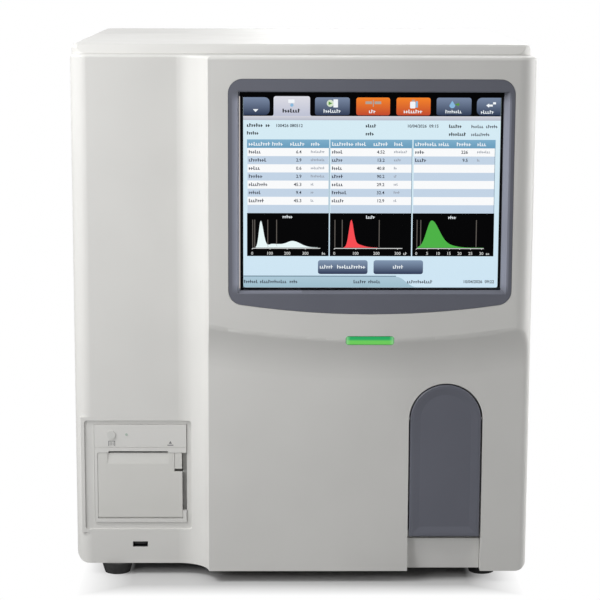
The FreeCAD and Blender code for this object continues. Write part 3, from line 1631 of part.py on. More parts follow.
def ground_stud():
    nut_back = skin_back + s.stud_nut_thickness
    nut = hexagon("Y", skin_back, nut_back, stud_x, s.stud_height, s.stud_nut_width)
    stud = rod("Y", rear_inner - s.stud_nut_thickness, back, stud_x, s.stud_height,
               s.stud_radius)
    return subpart("ground_stud", fuse(nut, stud))


# Printer

printer_back = printer_face + s.printer_depth
bay_roof = door_high - s.bay_roof_drop
button_x = printer_left + s.button_left
button_z = printer_high - s.button_drop
platen_y = printer_face + s.platen_depth
platen_z = door_high - s.platen_drop
door_pivot_y = printer_face + s.door_pivot_depth
door_pivot_z = door_low + s.door_pivot_rise
door_back = printer_face + s.door_thickness
left_ear_x = slot_left - s.platen_end_gap - s.ear_thickness
right_ear_x = slot_right + s.platen_end_gap - s.ear_thickness
roll_y = printer_face + s.roll_depth
roll_z = s.printer_low + s.roll_rise
notch_left = door_right - s.notch_width


def printer_housing():
    """A box with a door well, a deeper bay for the paper and an electronics space above."""
    gap = s.joint_gap
    shell = box(printer_left + gap, printer_right - gap, printer_face, printer_back,
                s.printer_low + gap, printer_high - gap)
    well_left, well_right = door_left - gap, door_right + gap
    well = box(well_left, well_right, printer_face - s.overrun, printer_face + s.door_well_depth,
               door_low - gap, door_high + gap)
    well_back = printer_face + s.door_thickness
    channel = box(door_right, printer_right + s.overrun, printer_face - s.overrun,
                  printer_face + s.door_channel_depth, door_low + s.door_channel_rise,
                  door_high + gap)
    line_low = door_high + s.header_line_rise
    line = box(printer_left - s.overrun, printer_right + s.overrun, printer_face - s.overrun,
               printer_face + s.header_line_depth, line_low, line_low + s.header_line_width)
    slot = box(slot_left, slot_right, printer_face - s.overrun, well_back + s.overrun,
               door_high - gap, door_high + s.slot_height)
    bay = box(slot_left - s.roll_side_gap, slot_right + s.roll_side_gap, printer_face + s.overrun,
              printer_back - s.printer_rear_wall, door_low - gap, bay_roof)
    header_low = door_high + s.slot_height + s.header_wall
    header = box(well_left, well_right, well_back, printer_back + s.overrun, header_low,
                 printer_high - gap - s.header_wall)
    key_way = rod("Y", printer_face - s.overrun, well_back + s.overrun, button_x, button_z,
                  s.button_radius + s.button_gap)
    pins = rod("X", door_left - s.door_trunnion_reach - gap, printer_right + s.overrun,
               door_pivot_y, door_pivot_z, s.door_trunnion_radius + s.running_gap)
    hubs = []
    for start, end in ((slot_left - s.roll_side_gap, slot_left + s.hub_reach),
                       (slot_right - s.hub_reach, slot_right + s.roll_side_gap)):
        hubs.append(rod("X", start, end, roll_y, roll_z, s.roll_core_radius - s.roll_core_gap))
    cuts = (well, channel, line, slot, bay, header, key_way, pins)
    return subpart("printer_housing", fuse(cut(shell, *cuts), *hubs))


def printer_door():
    """The paper door: it swings down on two trunnions and carries the platen between two ears."""
    body = new_body()
    notch_low = door_high - s.notch_height
    pad(body, "XZ_Plane", printer_face, door_back, [
        (door_left, door_low), (door_right, door_low), (door_right, notch_low),
        (notch_left, notch_low), (notch_left, door_high), (door_left, door_high),
    ])
    soften(body, "Fillet", s.door_edge_radius, lambda edge: near(edge.YMax, printer_face)
           and near(edge.ZMax, door_low))
    ramp_low = door_high - s.door_ramp_height
    ramp_back, beyond = printer_face + s.door_ramp_depth, printer_face - s.overrun
    above = door_high + s.overrun
    pocket(body, "YZ_Plane", slot_left - s.door_ramp_margin, slot_right + s.door_ramp_margin, [
        (printer_face, ramp_low), (ramp_back, door_high), (ramp_back, above), (beyond, above),
        (beyond, ramp_low),
    ])
    ear_low, ear_high = platen_z - s.ear_height / 2, platen_z + s.ear_height / 2
    for ear_x in (left_ear_x, right_ear_x):
        pad(body, "YZ_Plane", ear_x, ear_x + s.ear_thickness,
            rectangle(door_back - s.joint_gap, platen_y + s.ear_height / 2, ear_low, ear_high))
        pocket(body, "YZ_Plane", ear_x - s.overrun, ear_x + s.ear_thickness + s.overrun,
               (platen_y, platen_z, s.platen_shaft_radius + s.running_gap))
    for start, end in ((door_left - s.door_trunnion_reach, door_left),
                       (door_right, door_right + s.door_trunnion_long_reach)):
        pad(body, "YZ_Plane", start, end, (door_pivot_y, door_pivot_z, s.door_trunnion_radius))
    return subpart("printer_door", body)


def door_latch():
    """A thumb catch in the door's corner, held by a wider plate behind the door."""
    gap = s.joint_gap
    thumb = box(notch_left + gap, door_right - gap, printer_face, door_back + gap,
                door_high - s.latch_height, door_high)
    plate_front = door_back + gap
    plate_high = door_high - s.latch_back_overlap
    plate = box(notch_left - s.latch_back_overlap, door_right - gap, plate_front,
                plate_front + s.latch_back_thickness, plate_high - s.latch_height + gap,
                plate_high)
    return subpart("door_latch", fuse(thumb, plate))


def feed_button():
    key_front = printer_face - s.button_proud
    flange_front = printer_face + s.door_thickness + s.joint_gap / 3
    key = rod("Y", key_front, flange_front + s.nearness, button_x, button_z, s.button_radius)
    flange = rod("Y", flange_front, flange_front + s.button_flange_thickness, button_x, button_z,
                 s.button_flange_radius)
    return subpart("feed_button", fuse(key, flange))


def paper_roll():
    roll = rod("X", slot_left, slot_right, roll_y, roll_z, s.roll_radius)
    core = rod("X", slot_left - s.overrun, slot_right + s.overrun, roll_y, roll_z,
               s.roll_core_radius)
    return subpart("paper_roll", cut(roll, core))


def platen_roller():
    rubber = rod("X", slot_left, slot_right, platen_y, platen_z, s.platen_radius)
    shaft = rod("X", left_ear_x, right_ear_x + s.ear_thickness, platen_y, platen_z,
                s.platen_shaft_radius)
    return subpart("platen_roller", fuse(rubber, shaft))


def thermal_head():
    head_front = platen_y + s.platen_radius + s.joint_gap
    return subpart("thermal_head", box(slot_left, slot_right, head_front,
                                       head_front + s.head_thickness, bay_roof - s.head_height,
                                       bay_roof))


def usb_port():
    """The front socket: a thin metal shell with a tongue, on a plastic block behind."""
    half_w, half_h = s.usb_width / 2 - s.running_gap, s.usb_opening_height / 2 - s.running_gap
    start, end = column_face + s.recess_depth / 3, column_face + s.usb_depth
    shell = box(usb_middle - half_w, usb_middle + half_w, start, end,
                s.usb_height - half_h, s.usb_height + half_h)
    inner_w, inner_h = half_w - s.usb_shell, half_h - s.usb_shell
    hollow = box(usb_middle - inner_w, usb_middle + inner_w, start - s.overrun,
                 end - s.usb_shell, s.usb_height - inner_h, s.usb_height + inner_h)
    tongue = box(usb_middle - inner_w + s.usb_tongue_margin,
                 usb_middle + inner_w - s.usb_tongue_margin, start + s.usb_tongue_margin,
                 end - s.usb_shell, s.usb_height, s.usb_height + s.usb_tongue_height)
    margin = s.usb_block_margin
    block = box(usb_middle - half_w - margin, usb_middle + half_w + margin,
                column_face + s.wall, column_face + s.wall + s.usb_block_depth,
                s.usb_height - half_h - margin, s.usb_height + half_h + margin)
    way = box(usb_middle - half_w, usb_middle + half_w, start, end,
              s.usb_height - half_h, s.usb_height + half_h)
    return subpart("usb_port", fuse(cut(shell, hollow), tongue, cut(block, way)))


def build():
    front_cover()
    top_cover()
    side_panel("left_side_panel", -1)
    side_panel("right_side_panel", 1)
    rear_panel()
    rear_screws()
    base_plate()
    feet()
    partition_wall()
    display_bezel()
    touch_glass()
    lcd_module()
    display_bracket()
    status_lamp()
    sample_flap()
    flap_pin()
    sample_bay()
    tube_holder()
    traverse_bracket()
    traverse_rails()
    traverse_screw()
    traverse_motor()
    traverse_frame()
    lift_screw()
    lift_motor()
    lift_carriage()
    sample_probe()
    probe_wiper()
    bath_bracket()
    counting_baths()
    syringe_frame()
    syringe_barrel("diluent_syringe", diluent_y, s.diluent_barrel_radius, s.diluent_bore_radius)
    syringe_barrel("lyse_syringe", lyse_y, s.lyse_barrel_radius, s.lyse_bore_radius)
    syringe_plunger("diluent_plunger", diluent_y, s.diluent_bore_radius)
    syringe_plunger("lyse_plunger", lyse_y, s.lyse_bore_radius)
    plunger_crosshead()
    syringe_screw()
    syringe_motor()
    valve_bank()
    vacuum_chamber()
    waste_pump()
    pump_rotor()
    main_board()
    power_supply()
    fan_frame()
    fan_rotor()
    fan_guard()
    power_inlet()
    power_rocker()
    data_ports()
    fluid_fittings()
    ground_stud()
    printer_housing()
    printer_door()
    door_latch()
    feed_button()
    paper_roll()
    platen_roller()
    thermal_head()
    usb_port()


def check():
    """Stop on any object that failed, any cut that cut nothing and any bad solid."""
    doc.recompute()
    for item in doc.Objects:
        if "Invalid" in item.State or "Error" in item.State:
            raise RuntimeError(f"{item.Name} of {item.Label} failed: {item.State}")
    for body in [item for item in doc.Objects if item.TypeId == "PartDesign::Body"]:
        before = 0
        for feature in [item for item in body.Group if item.isDerivedFrom("PartDesign::Feature")]:
            volume = feature.Shape.Volume
            if feature.TypeId in ("PartDesign::Pocket", "PartDesign::Groove"):
                works = volume < before
            elif feature.TypeId == "PartDesign::Pad":
                works = volume > before
            else:
                works = volume != before
            if not works:
                raise RuntimeError(f"{feature.Name} of {body.Label} changed {before} to {volume}")
            before = volume
    for item in subparts:
        if item.Shape.isNull() or not item.Shape.isValid():
            raise RuntimeError(f"{item.Label} has no valid shape")


def export():
    os.makedirs("parts", exist_ok=True)
    for item in subparts:
        item.Shape.exportStep(f"parts/{item.Label}.step")


build()
check()
export()
print(len(subparts), "sub-parts,", round(sum(item.Shape.Volume for item in subparts)), "cubic mm")
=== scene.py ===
"""Looks of the benchtop cell counter, in metres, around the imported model."""
import math
import json
import bmesh
import bpy
from mathutils import Matrix, Vector


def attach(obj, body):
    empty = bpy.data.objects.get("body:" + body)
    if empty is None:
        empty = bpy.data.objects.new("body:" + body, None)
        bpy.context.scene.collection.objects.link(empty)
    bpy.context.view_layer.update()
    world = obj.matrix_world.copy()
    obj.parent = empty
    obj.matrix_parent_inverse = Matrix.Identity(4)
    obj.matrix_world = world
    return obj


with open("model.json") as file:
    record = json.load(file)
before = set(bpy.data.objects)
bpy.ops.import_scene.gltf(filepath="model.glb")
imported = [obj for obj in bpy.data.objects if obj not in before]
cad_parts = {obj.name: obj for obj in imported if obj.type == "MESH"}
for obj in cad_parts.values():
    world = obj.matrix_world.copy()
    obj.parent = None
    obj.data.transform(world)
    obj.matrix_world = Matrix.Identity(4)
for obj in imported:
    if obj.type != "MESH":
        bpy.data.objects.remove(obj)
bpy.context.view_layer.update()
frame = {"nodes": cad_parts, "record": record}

MM = 0.001


# Camera, fitted to the casing's edges in the photograph

CAMERA_PLACE = (-0.02551, -1.85219, 0.53365)
CAMERA_YAW = 0.848
CAMERA_PITCH = 9.821
CAMERA_ROLL = 0.21
LENS = 119.46
SENSOR = 36

camera_data = bpy.data.cameras.new("camera")
camera_data.lens = LENS
camera_data.sensor_width = SENSOR
camera = bpy.data.objects.new("camera", camera_data)
bpy.context.collection.objects.link(camera)
turn = (Matrix.Rotation(math.radians(-CAMERA_YAW), 4, "Z")
        @ Matrix.Rotation(math.radians(90 - CAMERA_PITCH), 4, "X")
        @ Matrix.Rotation(math.radians(CAMERA_ROLL), 4, "Z"))
camera.matrix_world = Matrix.Translation(CAMERA_PLACE) @ turn
bpy.context.scene.camera = camera
bpy.context.scene.view_settings.view_transform = "Standard"


# Node helpers

def new_material(name):
    material = bpy.data.materials.new(name)
    material.use_nodes = True
    tree = material.node_tree
    shader = tree.nodes["Principled BSDF"]
    return material, tree, shader


def node(tree, kind, **inputs):
    item = tree.nodes.new(kind)
    for key, value in inputs.items():
        item.inputs[key.replace("_", " ")].default_value = value
    return item


def spots(tree, scale, detail=3, rough=0.6):
    """Noise fixed to the object, in spots per metre."""
    place = tree.nodes.new("ShaderNodeTexCoord")
    noise = node(tree, "ShaderNodeTexNoise", Scale=scale, Detail=detail, Roughness=rough)
    tree.links.new(place.outputs["Object"], noise.inputs["Vector"])
    return noise.outputs["Fac"]


def spread(tree, value, low, high, start=0.3, end=0.7):
    """A value between start and end, turned into one between low and high."""
    ramp = node(tree, "ShaderNodeMapRange", From_Min=start, From_Max=end, To_Min=low, To_Max=high)
    tree.links.new(value, ramp.inputs["Value"])
    return ramp.outputs["Result"]


def mixed(tree, share, first, second):
    mix = tree.nodes.new("ShaderNodeMix")
    mix.data_type = "RGBA"
    for socket, colour in ((mix.inputs[6], first), (mix.inputs[7], second)):
        if isinstance(colour, tuple):
            socket.default_value = (*colour, 1)
        else:
            tree.links.new(colour, socket)
    tree.links.new(share, mix.inputs[0])
    return mix.outputs[2]


def bumped(tree, shader, height, distance, strength=1.0):
    bump = node(tree, "ShaderNodeBump", Strength=strength, Distance=distance)
    tree.links.new(height, bump.inputs["Height"])
    tree.links.new(bump.outputs["Normal"], shader.inputs["Normal"])


def axis_value(tree, axis):
    """The object's own coordinate along X, Y or Z."""
    place = tree.nodes.new("ShaderNodeTexCoord")
    parts = tree.nodes.new("ShaderNodeSeparateXYZ")
    tree.links.new(place.outputs["Object"], parts.inputs[0])
    return parts.outputs[axis]


def maths(tree, kind, first, second=None):
    item = tree.nodes.new("ShaderNodeMath")
    item.operation = kind
    for socket, value in zip(item.inputs, (first, second)):
        if isinstance(value, (int, float)):
            socket.default_value = value
        elif value is not None:
            tree.links.new(value, socket)
    return item.outputs[0]


def shade(colour, share):
    """A colour made darker or lighter by a share of 1."""
    return tuple(min(channel * share, 1) for channel in colour)


# Materials

MOTTLE_SCALE, SCUFF_SCALE = 9, 34


def moulded(name, colour, rough=0.45, grain=2600, depth=0.00003, wear=0.06):
    """Satin moulded plastic: fine spark grain, faint mottling, a little scuffing in the gloss."""
    material, tree, shader = new_material(name)
    mottle = spread(tree, spots(tree, MOTTLE_SCALE, 2), 0, 1)
    base = mixed(tree, mottle, shade(colour, 1 - wear / 2), shade(colour, 1 + wear / 2))
    tree.links.new(base, shader.inputs["Base Color"])
    tree.links.new(spread(tree, spots(tree, SCUFF_SCALE, 4), rough - 0.06, rough + 0.06),
                   shader.inputs["Roughness"])
    bumped(tree, shader, spots(tree, grain, 2, 0.5), depth, 0.35)
    return material


def metal(name, colour, rough=0.35, stretch=(1, 1, 40), grain=700):
    """Ground or folded metal with fine drawn lines."""
    material, tree, shader = new_material(name)
    shader.inputs["Metallic"].default_value = 1
    place = tree.nodes.new("ShaderNodeTexCoord")
    lines = tree.nodes.new("ShaderNodeMapping")
    lines.inputs["Scale"].default_value = stretch
    noise = node(tree, "ShaderNodeTexNoise", Scale=grain, Detail=2)
    tree.links.new(place.outputs["Object"], lines.inputs["Vector"])
    tree.links.new(lines.outputs["Vector"], noise.inputs["Vector"])
    value = noise.outputs["Fac"]
    tree.links.new(mixed(tree, spread(tree, value, 0, 1), shade(colour, 0.88), shade(colour, 1.08)),
                   shader.inputs["Base Color"])
    tree.links.new(spread(tree, value, rough - 0.08, rough + 0.1), shader.inputs["Roughness"])
    bumped(tree, shader, value, 0.00002, 0.3)
    return material


def painted(name, colour, rough=0.5):
    """Powder coat: a shallow orange peel."""
    material, tree, shader = new_material(name)
    base = mixed(tree, spread(tree, spots(tree, 14, 3), 0, 1), shade(colour, 0.96),
                 shade(colour, 1.03))
    tree.links.new(base, shader.inputs["Base Color"])
    tree.links.new(spread(tree, spots(tree, 60, 3), rough - 0.05, rough + 0.07),
                   shader.inputs["Roughness"])
    bumped(tree, shader, spots(tree, 900, 2), 0.0001, 0.3)
    return material


def rubber(name, colour):
    material, tree, shader = new_material(name)
    base = mixed(tree, spread(tree, spots(tree, 120, 4), 0, 1), shade(colour, 0.8),
                 shade(colour, 1.5))
    tree.links.new(base, shader.inputs["Base Color"])
    tree.links.new(spread(tree, spots(tree, 200, 3), 0.6, 0.85), shader.inputs["Roughness"])
    bumped(tree, shader, spots(tree, 1500, 2), 0.0001, 0.4)
    return material


# Painted light on the display frame's inner slopes: where it lies in millimetres, its shares, and
# how much lighter the slate is made
SLOPE_LEFT, SLOPE_RIGHT = (-57.6, -51.5), (167.0, 174.0)
SLOPE_LOW, SLOPE_TOP = (254.0, 262.0), (414.0, 422.0)
SLOPE_FADE = 1
LEFT_LIGHT_SHARE, RIGHT_LIGHT_SHARE = 0.25, 0.5
SLOPE_PAINTED_LIGHT = 2.8


def bezel_plastic_painted_light(name, colour):
    """Slate plastic whose upright inner slopes are painted lighter, painted light from the lit
    screen, the left one most towards the glass.
    """
    material, tree, shader = new_material(name)
    across, rise = axis_value(tree, "X"), axis_value(tree, "Z")

    def faded(share, value, low, high, start, end):
        """A share that a value also scales, between a start and an end in millimetres."""
        return maths(tree, "MULTIPLY", share, spread(tree, value, low, high, MM * start, MM * end))

    left = spread(tree, across, LEFT_LIGHT_SHARE, 1, MM * SLOPE_LEFT[0], MM * SLOPE_LEFT[1])
    left = faded(left, across, 0, 1, SLOPE_LEFT[0] - SLOPE_FADE, SLOPE_LEFT[0])
    left = faded(left, across, 1, 0, 0, SLOPE_FADE)
    right = spread(tree, across, 0, RIGHT_LIGHT_SHARE, MM * SLOPE_RIGHT[0],
                   MM * (SLOPE_RIGHT[0] + SLOPE_FADE))
    right = faded(right, across, 1, 0, SLOPE_RIGHT[1] - SLOPE_FADE, SLOPE_RIGHT[1])
    share = faded(maths(tree, "ADD", left, right), rise, 0, 1, *SLOPE_LOW)
    share = faded(share, rise, 1, 0, *SLOPE_TOP)
    plain = mixed(tree, spread(tree, spots(tree, MOTTLE_SCALE, 2), 0, 1), shade(colour, 0.97),
                  shade(colour, 1.03))
    # painted light: the slate made lighter on the slopes
    lighter = shade(colour, SLOPE_PAINTED_LIGHT)
    tree.links.new(mixed(tree, share, plain, lighter), shader.inputs["Base Color"])
    tree.links.new(spread(tree, spots(tree, SCUFF_SCALE, 4), 0.38, 0.48), shader.inputs["Roughness"])
    bumped(tree, shader, spots(tree, 2200, 2, 0.5), 0.00004, 0.35)
    return material


def dark_glass(name):
    """The touch panel: black print behind clear glass, with faint wipe marks in the gloss."""
    material, tree, shader = new_material(name)
    base = mixed(tree, spread(tree, spots(tree, 25, 2), 0, 1), (0.004, 0.004, 0.005),
                 (0.007, 0.007, 0.008))
    tree.links.new(base, shader.inputs["Base Color"])
    tree.links.new(spread(tree, spots(tree, 40, 5), 0.12, 0.22), shader.inputs["Roughness"])
    shader.inputs["Specular IOR Level"].default_value = 0.12
    return material


def linear(colour):
    """A display colour of 0 to 255 as light."""
    shares = [channel / 255 for channel in colour]
    return tuple(share / 12.92 if share <= 0.04045 else ((share + 0.055) / 1.055) ** 2.4
                 for share in shares)


LAMP_MIDDLE, LAMP_HALF = (57.95, 213.85), (20.45, 3.95)
LAMP_EDGE = 0.9
LAMP_TURN, LAMP_ENDS = (-0.4, 1.2), (16.5, 19.5)
LAMP_LOWER, LAMP_UPPER = (102, 192, 78), (22, 156, 84)
LAMP_END_GREEN, LAMP_GAP_SHADE_GREEN = (140, 196, 140), (38, 72, 44)


def lamp_glow(name):
    """A lit green light guide: brighter below and at its ends, and dark along its edge, a painted
    shade of the gap around it.
    """
    material, tree, shader = new_material(name)
    shader.inputs["Base Color"].default_value = (0.01, 0.08, 0.03, 1)
    shader.inputs["Roughness"].default_value = 0.25
    shader.inputs["Emission Strength"].default_value = 1
    across = maths(tree, "SUBTRACT", axis_value(tree, "X"), MM * LAMP_MIDDLE[0])
    across = maths(tree, "ABSOLUTE", across)
    rise = maths(tree, "SUBTRACT", axis_value(tree, "Z"), MM * LAMP_MIDDLE[1])
    upper = spread(tree, rise, 0, 1, MM * LAMP_TURN[0], MM * LAMP_TURN[1])
    glow = mixed(tree, upper, linear(LAMP_LOWER), linear(LAMP_UPPER))
    ends = spread(tree, across, 0, 0.75, MM * LAMP_ENDS[0], MM * LAMP_ENDS[1])
    glow = mixed(tree, ends, glow, linear(LAMP_END_GREEN))
    # painted shade of the gap around the lamp, darkening the glow along its edge
    side = spread(tree, across, 0, 1, MM * (LAMP_HALF[0] - LAMP_EDGE), MM * LAMP_HALF[0])
    edge = spread(tree, maths(tree, "ABSOLUTE", rise), 0, 1, MM * (LAMP_HALF[1] - LAMP_EDGE),
                  MM * LAMP_HALF[1])
    glow = mixed(tree, maths(tree, "MAXIMUM", side, edge), glow, linear(LAMP_GAP_SHADE_GREEN))
    tree.links.new(glow, shader.inputs["Emission Color"])
    return material


CASING = (0.64, 0.635, 0.615)
SLATE = (0.122, 0.128, 0.158)
looks = {
    "casing": moulded("casing_plastic", CASING),
    "rear_sheet": painted("rear_powder_coat", (0.60, 0.595, 0.575)),
    "chassis": metal("plated_sheet", (0.56, 0.57, 0.58), 0.42, (1, 1, 1), 160),
    # the niche is the casing plastic made lighter: painted light on its recessed wall
    "niche": moulded("niche_plastic_painted_light", (0.76, 0.755, 0.735), 0.5),
    "slate": moulded("slate_plastic", SLATE, 0.42, 2200, 0.00004, 0.08),
    "screen": dark_glass("touch_glass_black"),
    "display_metal": metal("display_frame", (0.5, 0.5, 0.51)),
    "lamp": lamp_glow("lamp_green"),
    "printer_case": moulded("printer_plastic", CASING, 0.5, 3000),
    "printer_door": moulded("door_plastic", (0.61, 0.605, 0.58), 0.48, 3000),
    "button": moulded("button_plastic", (0.60, 0.60, 0.58), 0.4),
    "paper": moulded("thermal_paper", (0.86, 0.86, 0.84), 0.75, 5000, 0.00003),
    "rubber": rubber("black_rubber", (0.02, 0.02, 0.02)),
    "steel": metal("ground_steel", (0.62, 0.62, 0.63), 0.28),
    "motor": painted("motor_black", (0.03, 0.03, 0.033), 0.4),
    "slider": metal("machined_aluminium", (0.7, 0.71, 0.72), 0.38, (1, 40, 1)),
    "holder": moulded("holder_plastic", (0.05, 0.053, 0.06), 0.5),
    "bath": moulded("bath_acrylic", (0.78, 0.8, 0.78), 0.15, 900),
    "barrel": moulded("barrel_acrylic", (0.78, 0.8, 0.82), 0.1, 900),
    "plunger": moulded("plunger_plastic", (0.82, 0.82, 0.8), 0.35),
    "valves": moulded("valve_plastic", (0.035, 0.04, 0.05), 0.45),
    "rotor": moulded("rotor_plastic", (0.6, 0.6, 0.58), 0.4),
    "circuit": moulded("solder_mask", (0.01, 0.09, 0.035), 0.3, 600, 0.0001, 0.3),
    "supply": metal("supply_sheet", (0.62, 0.62, 0.63), 0.4, (40, 1, 1)),
    "fan": moulded("fan_plastic", (0.014, 0.014, 0.015), 0.45),
    "guard": metal("plated_wire", (0.6, 0.6, 0.62), 0.26, (1, 1, 1), 2400),
    "inlet": moulded("inlet_plastic", (0.014, 0.014, 0.015), 0.4),
    "port_metal": metal("port_plating", (0.62, 0.62, 0.62), 0.34, (1, 1, 1), 2400),
    "fitting": moulded("fitting_plastic", (0.76, 0.76, 0.74), 0.35),
    "print_head": metal("head_aluminium", (0.45, 0.45, 0.47), 0.35),
}
# near-black plastic on the USB port: painted shade standing in for the shadow in its opening
socket_painted_shade = moulded("socket_painted_shade", (0.012, 0.012, 0.013), 0.5)


for row in frame["record"]["subparts"]:
    mesh = frame["nodes"][row["node"]].data
    mesh.materials.clear()
    mesh.materials.append(looks[row["material_slot"]])
frame["nodes"]["usb_port"].data.materials[0] = socket_painted_shade
frame["nodes"]["display_bezel"].data.materials[0] = bezel_plastic_painted_light("bezel_slate_painted_light", SLATE)


# Plates and writing

def add_plate(form, outline, place):
    """A closed plate: place(x, y, side) is where an outline point lies, rear 0 or front 1."""
    front = [form.verts.new(place(x, y, 1)) for x, y in outline]
    rear = [form.verts.new(place(x, y, 0)) for x, y in outline]
    form.faces.new(front)
    form.faces.new(reversed(rear))
    for index in range(len(outline)):
        form.faces.new((front[index - 1], rear[index - 1], rear[index], front[index]))


def finish_piece(name, form, material, body="root"):
    """A form made into a piece that rides on a body and takes the material given."""
    bmesh.ops.recalc_face_normals(form, faces=form.faces)
    mesh = bpy.data.meshes.new(name)
    form.to_mesh(mesh)
    form.free()
    mesh.materials.append(material)
    piece = bpy.data.objects.new(name, mesh)
    bpy.context.collection.objects.link(piece)
    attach(piece, body)


def plates(name, outlines, place, material):
    form = bmesh.new()
    for outline in outlines:
        add_plate(form, outline, place)
    finish_piece(name, form, material)


def corner(x, y, radius, start, steps=5):
    """A quarter turn about a centre, clockwise as y runs down, from a start angle."""
    angles = [math.radians(start + 90 * step / steps) for step in range(steps + 1)]
    return [(x + radius * math.cos(angle), y + radius * math.sin(angle)) for angle in angles]


def plate(left, top, right, low, radius=0, rounded=(True, True, True, True)):
    """A rectangle whose corners, from top left clockwise, may be rounded."""
    if not radius:
        return [(left, top), (right, top), (right, low), (left, low)]
    centres = ((left + radius, top + radius, 180, (left, top)),
               (right - radius, top + radius, 270, (right, top)),
               (right - radius, low - radius, 0, (right, low)),
               (left + radius, low - radius, 90, (left, low)))
    outline = []
    for (x, y, start, sharp), is_round in zip(centres, rounded):
        outline += corner(x, y, radius, start) if is_round else [sharp]
    return outline


def disc(x, y, radius, count=20):
    turns = [2 * math.pi * step / count for step in range(count)]
    return [(x + radius * math.cos(turn), y + radius * math.sin(turn)) for turn in turns]


# Screen: thin plates on the glass, in millimetres from the lit area's top left corner

SCREEN_LEFT, SCREEN_FACE, SCREEN_TOP = -48.4, -200.5, 418.9
SCREEN_WIDTH, SCREEN_HEIGHT = 213.5, 160.4
LAYER = 0.06
PIXEL_SCALE = 3000
# The marks of a greeked word: how tall each is, and how far down its bar sits, as shares
LETTER_PATTERN = ((1.0, 0.5), (0.72, 0.28), (0.72, 1.0), (1.0, 1.0), (0.72, 0.6), (0.72, 0.28),
                  (1.0, 0.28), (0.72, 1.0), (0.72, 0.5))


def screen_point(x, y, layer):
    return (MM * (SCREEN_LEFT + x), MM * (SCREEN_FACE - layer * LAYER), MM * (SCREEN_TOP - y))


def screen_piece(name, outlines, layer, material):
    plates(name, outlines, lambda x, y, side: screen_point(x, y, layer - 1 + side),
           material)


def lit(name, upper, lower=None, top=0.0, low=SCREEN_HEIGHT):
    """A colour of the lit display, fading down the screen, with the display's pixel pattern."""
    material, tree, shader = new_material(name)
    shader.inputs["Base Color"].default_value = (0.002, 0.002, 0.002, 1)
    shader.inputs["Roughness"].default_value = 0.35
    shader.inputs["Specular IOR Level"].default_value = 0
    shader.inputs["Emission Strength"].default_value = 1
    fall = spread(tree, axis_value(tree, "Z"), 1, 0, MM * (SCREEN_TOP - low),
                  MM * (SCREEN_TOP - top))
    place = tree.nodes.new("ShaderNodeTexCoord")
    pixels = node(tree, "ShaderNodeTexChecker", Scale=PIXEL_SCALE)
    tree.links.new(place.outputs["Object"], pixels.inputs["Vector"])
    upper, lower = linear(upper), linear(lower or upper)
    plain = mixed(tree, fall, upper, lower)
    dim = mixed(tree, fall, shade(upper, 0.95), shade(lower, 0.95))
    tree.links.new(mixed(tree, pixels.outputs["Fac"], dim, plain), shader.inputs["Emission Color"])
    return material


def writing(left, top, right, low, start=0, weight=0.36):
    """A greeked word: stems of mixed height, each with a short bar, and no real letters."""
    height = low - top
    count = max(round((right - left) / (0.62 * height)), 1)
    pitch = (right - left) / count
    marks = []
    for index in range(count):
        tall, level = LETTER_PATTERN[(start + index * 4) % len(LETTER_PATTERN)]
        x = left + index * pitch
        stem, bar = weight * pitch, 0.18 * height
        head = low - tall * height
        middle = head + (low - head - bar) * level
        marks.append(plate(x, head, x + stem, low))
        marks.append(plate(x + stem, middle, x + 0.84 * pitch, middle + bar))
    return marks


def words(rows, weight=0.36):
    """Greeked words from rows of left, top, right and low."""
    marks = []
    for index, row in enumerate(rows):
        marks += writing(*row, index * 2, weight)
    return marks


def numerals(name, rows, layer, material, weight=0.0):
    """Plain numbers in Blender's own font: text, edge, share of the width before it, top, low."""
    form = bmesh.new()
    for text, edge, lead, top, low in rows:
        curve = bpy.data.curves.new("number", "FONT")
        curve.body = text
        curve.extrude = 0.5
        curve.offset = weight
        curve.resolution_u = 2
        item = bpy.data.objects.new("number", curve)
        mesh = bpy.data.meshes.new_from_object(item)
        xs = [vertex.co.x for vertex in mesh.vertices]
        ys = [vertex.co.y for vertex in mesh.vertices]
        share = (low - top) / (max(ys) - min(ys))
        start = edge - lead * share * (max(xs) - min(xs))
        for vertex in mesh.vertices:
            x = start + share * (vertex.co.x - min(xs))
            y = low - share * (vertex.co.y - min(ys))
            vertex.co = screen_point(x, y, layer if vertex.co.z > 0 else layer - 1)
        form.from_mesh(mesh)
        bpy.data.objects.remove(item)
        bpy.data.curves.remove(curve)
        bpy.data.meshes.remove(mesh)
    bmesh.ops.remove_doubles(form, verts=form.verts, dist=1e-7)
    finish_piece(name, form, material)


def active_tab():
    """The light tab: round shoulders, and feet that flare into the strip under it."""
    left, right, top, low, radius, flare = 24.9, 55.1, -0.1, 16.4, 2.1, 1.8
    return (corner(left - flare, low - flare, flare, 0)[::-1]
            + corner(left + radius, top + radius, radius, 180)
            + corner(right - radius, top + radius, radius, 270)
            + corner(right + flare, low - flare, flare, 90)[::-1])


def hill(start, end, base, *peaks):
    """A filled curve: each peak has a middle, a width on its left and right, and a height."""
    steps = 72
    outline = [(end, base), (start, base)]
    for step in range(steps + 1):
        x = start + (end - start) * step / steps
        height = 0.15
        for middle, left, right, rise in peaks:
            reach = left if x < middle else right
            height += rise * math.exp(-((x - middle) / reach) ** 2 / 2)
        outline.append((x, base - height))
    return outline


# Plates and words are given by left, top, right and low
TAB_TOP, TAB_LOW, STRIP_TOP, STRIP_LOW = 1.0, 15.7, 16.4, 19.9
TABLE_TOP, HEADER_LOW, ROW_PITCH, ROW_COUNT = 35.9, 43.0, 6.8, 8
COLUMNS = ((2.85, 71.2), (72.1, 140.3), (141.3, 209.6))
GRAPH_TOP, GRAPH_LOW, GRAPH_BASE = 97.5, 133.8, 126.6
STATUS_TOP, STATUS_HEAD, STATUS_FOOT, STATUS_LOW = 150.4, 151.2, 160.0, 160.2
STATUS_BEND, STATUS_RUN, STATUS_STEPS = 128.0, 17.0, 12
BUTTON_TOP, BUTTON_LOW = 137.2, 149.0

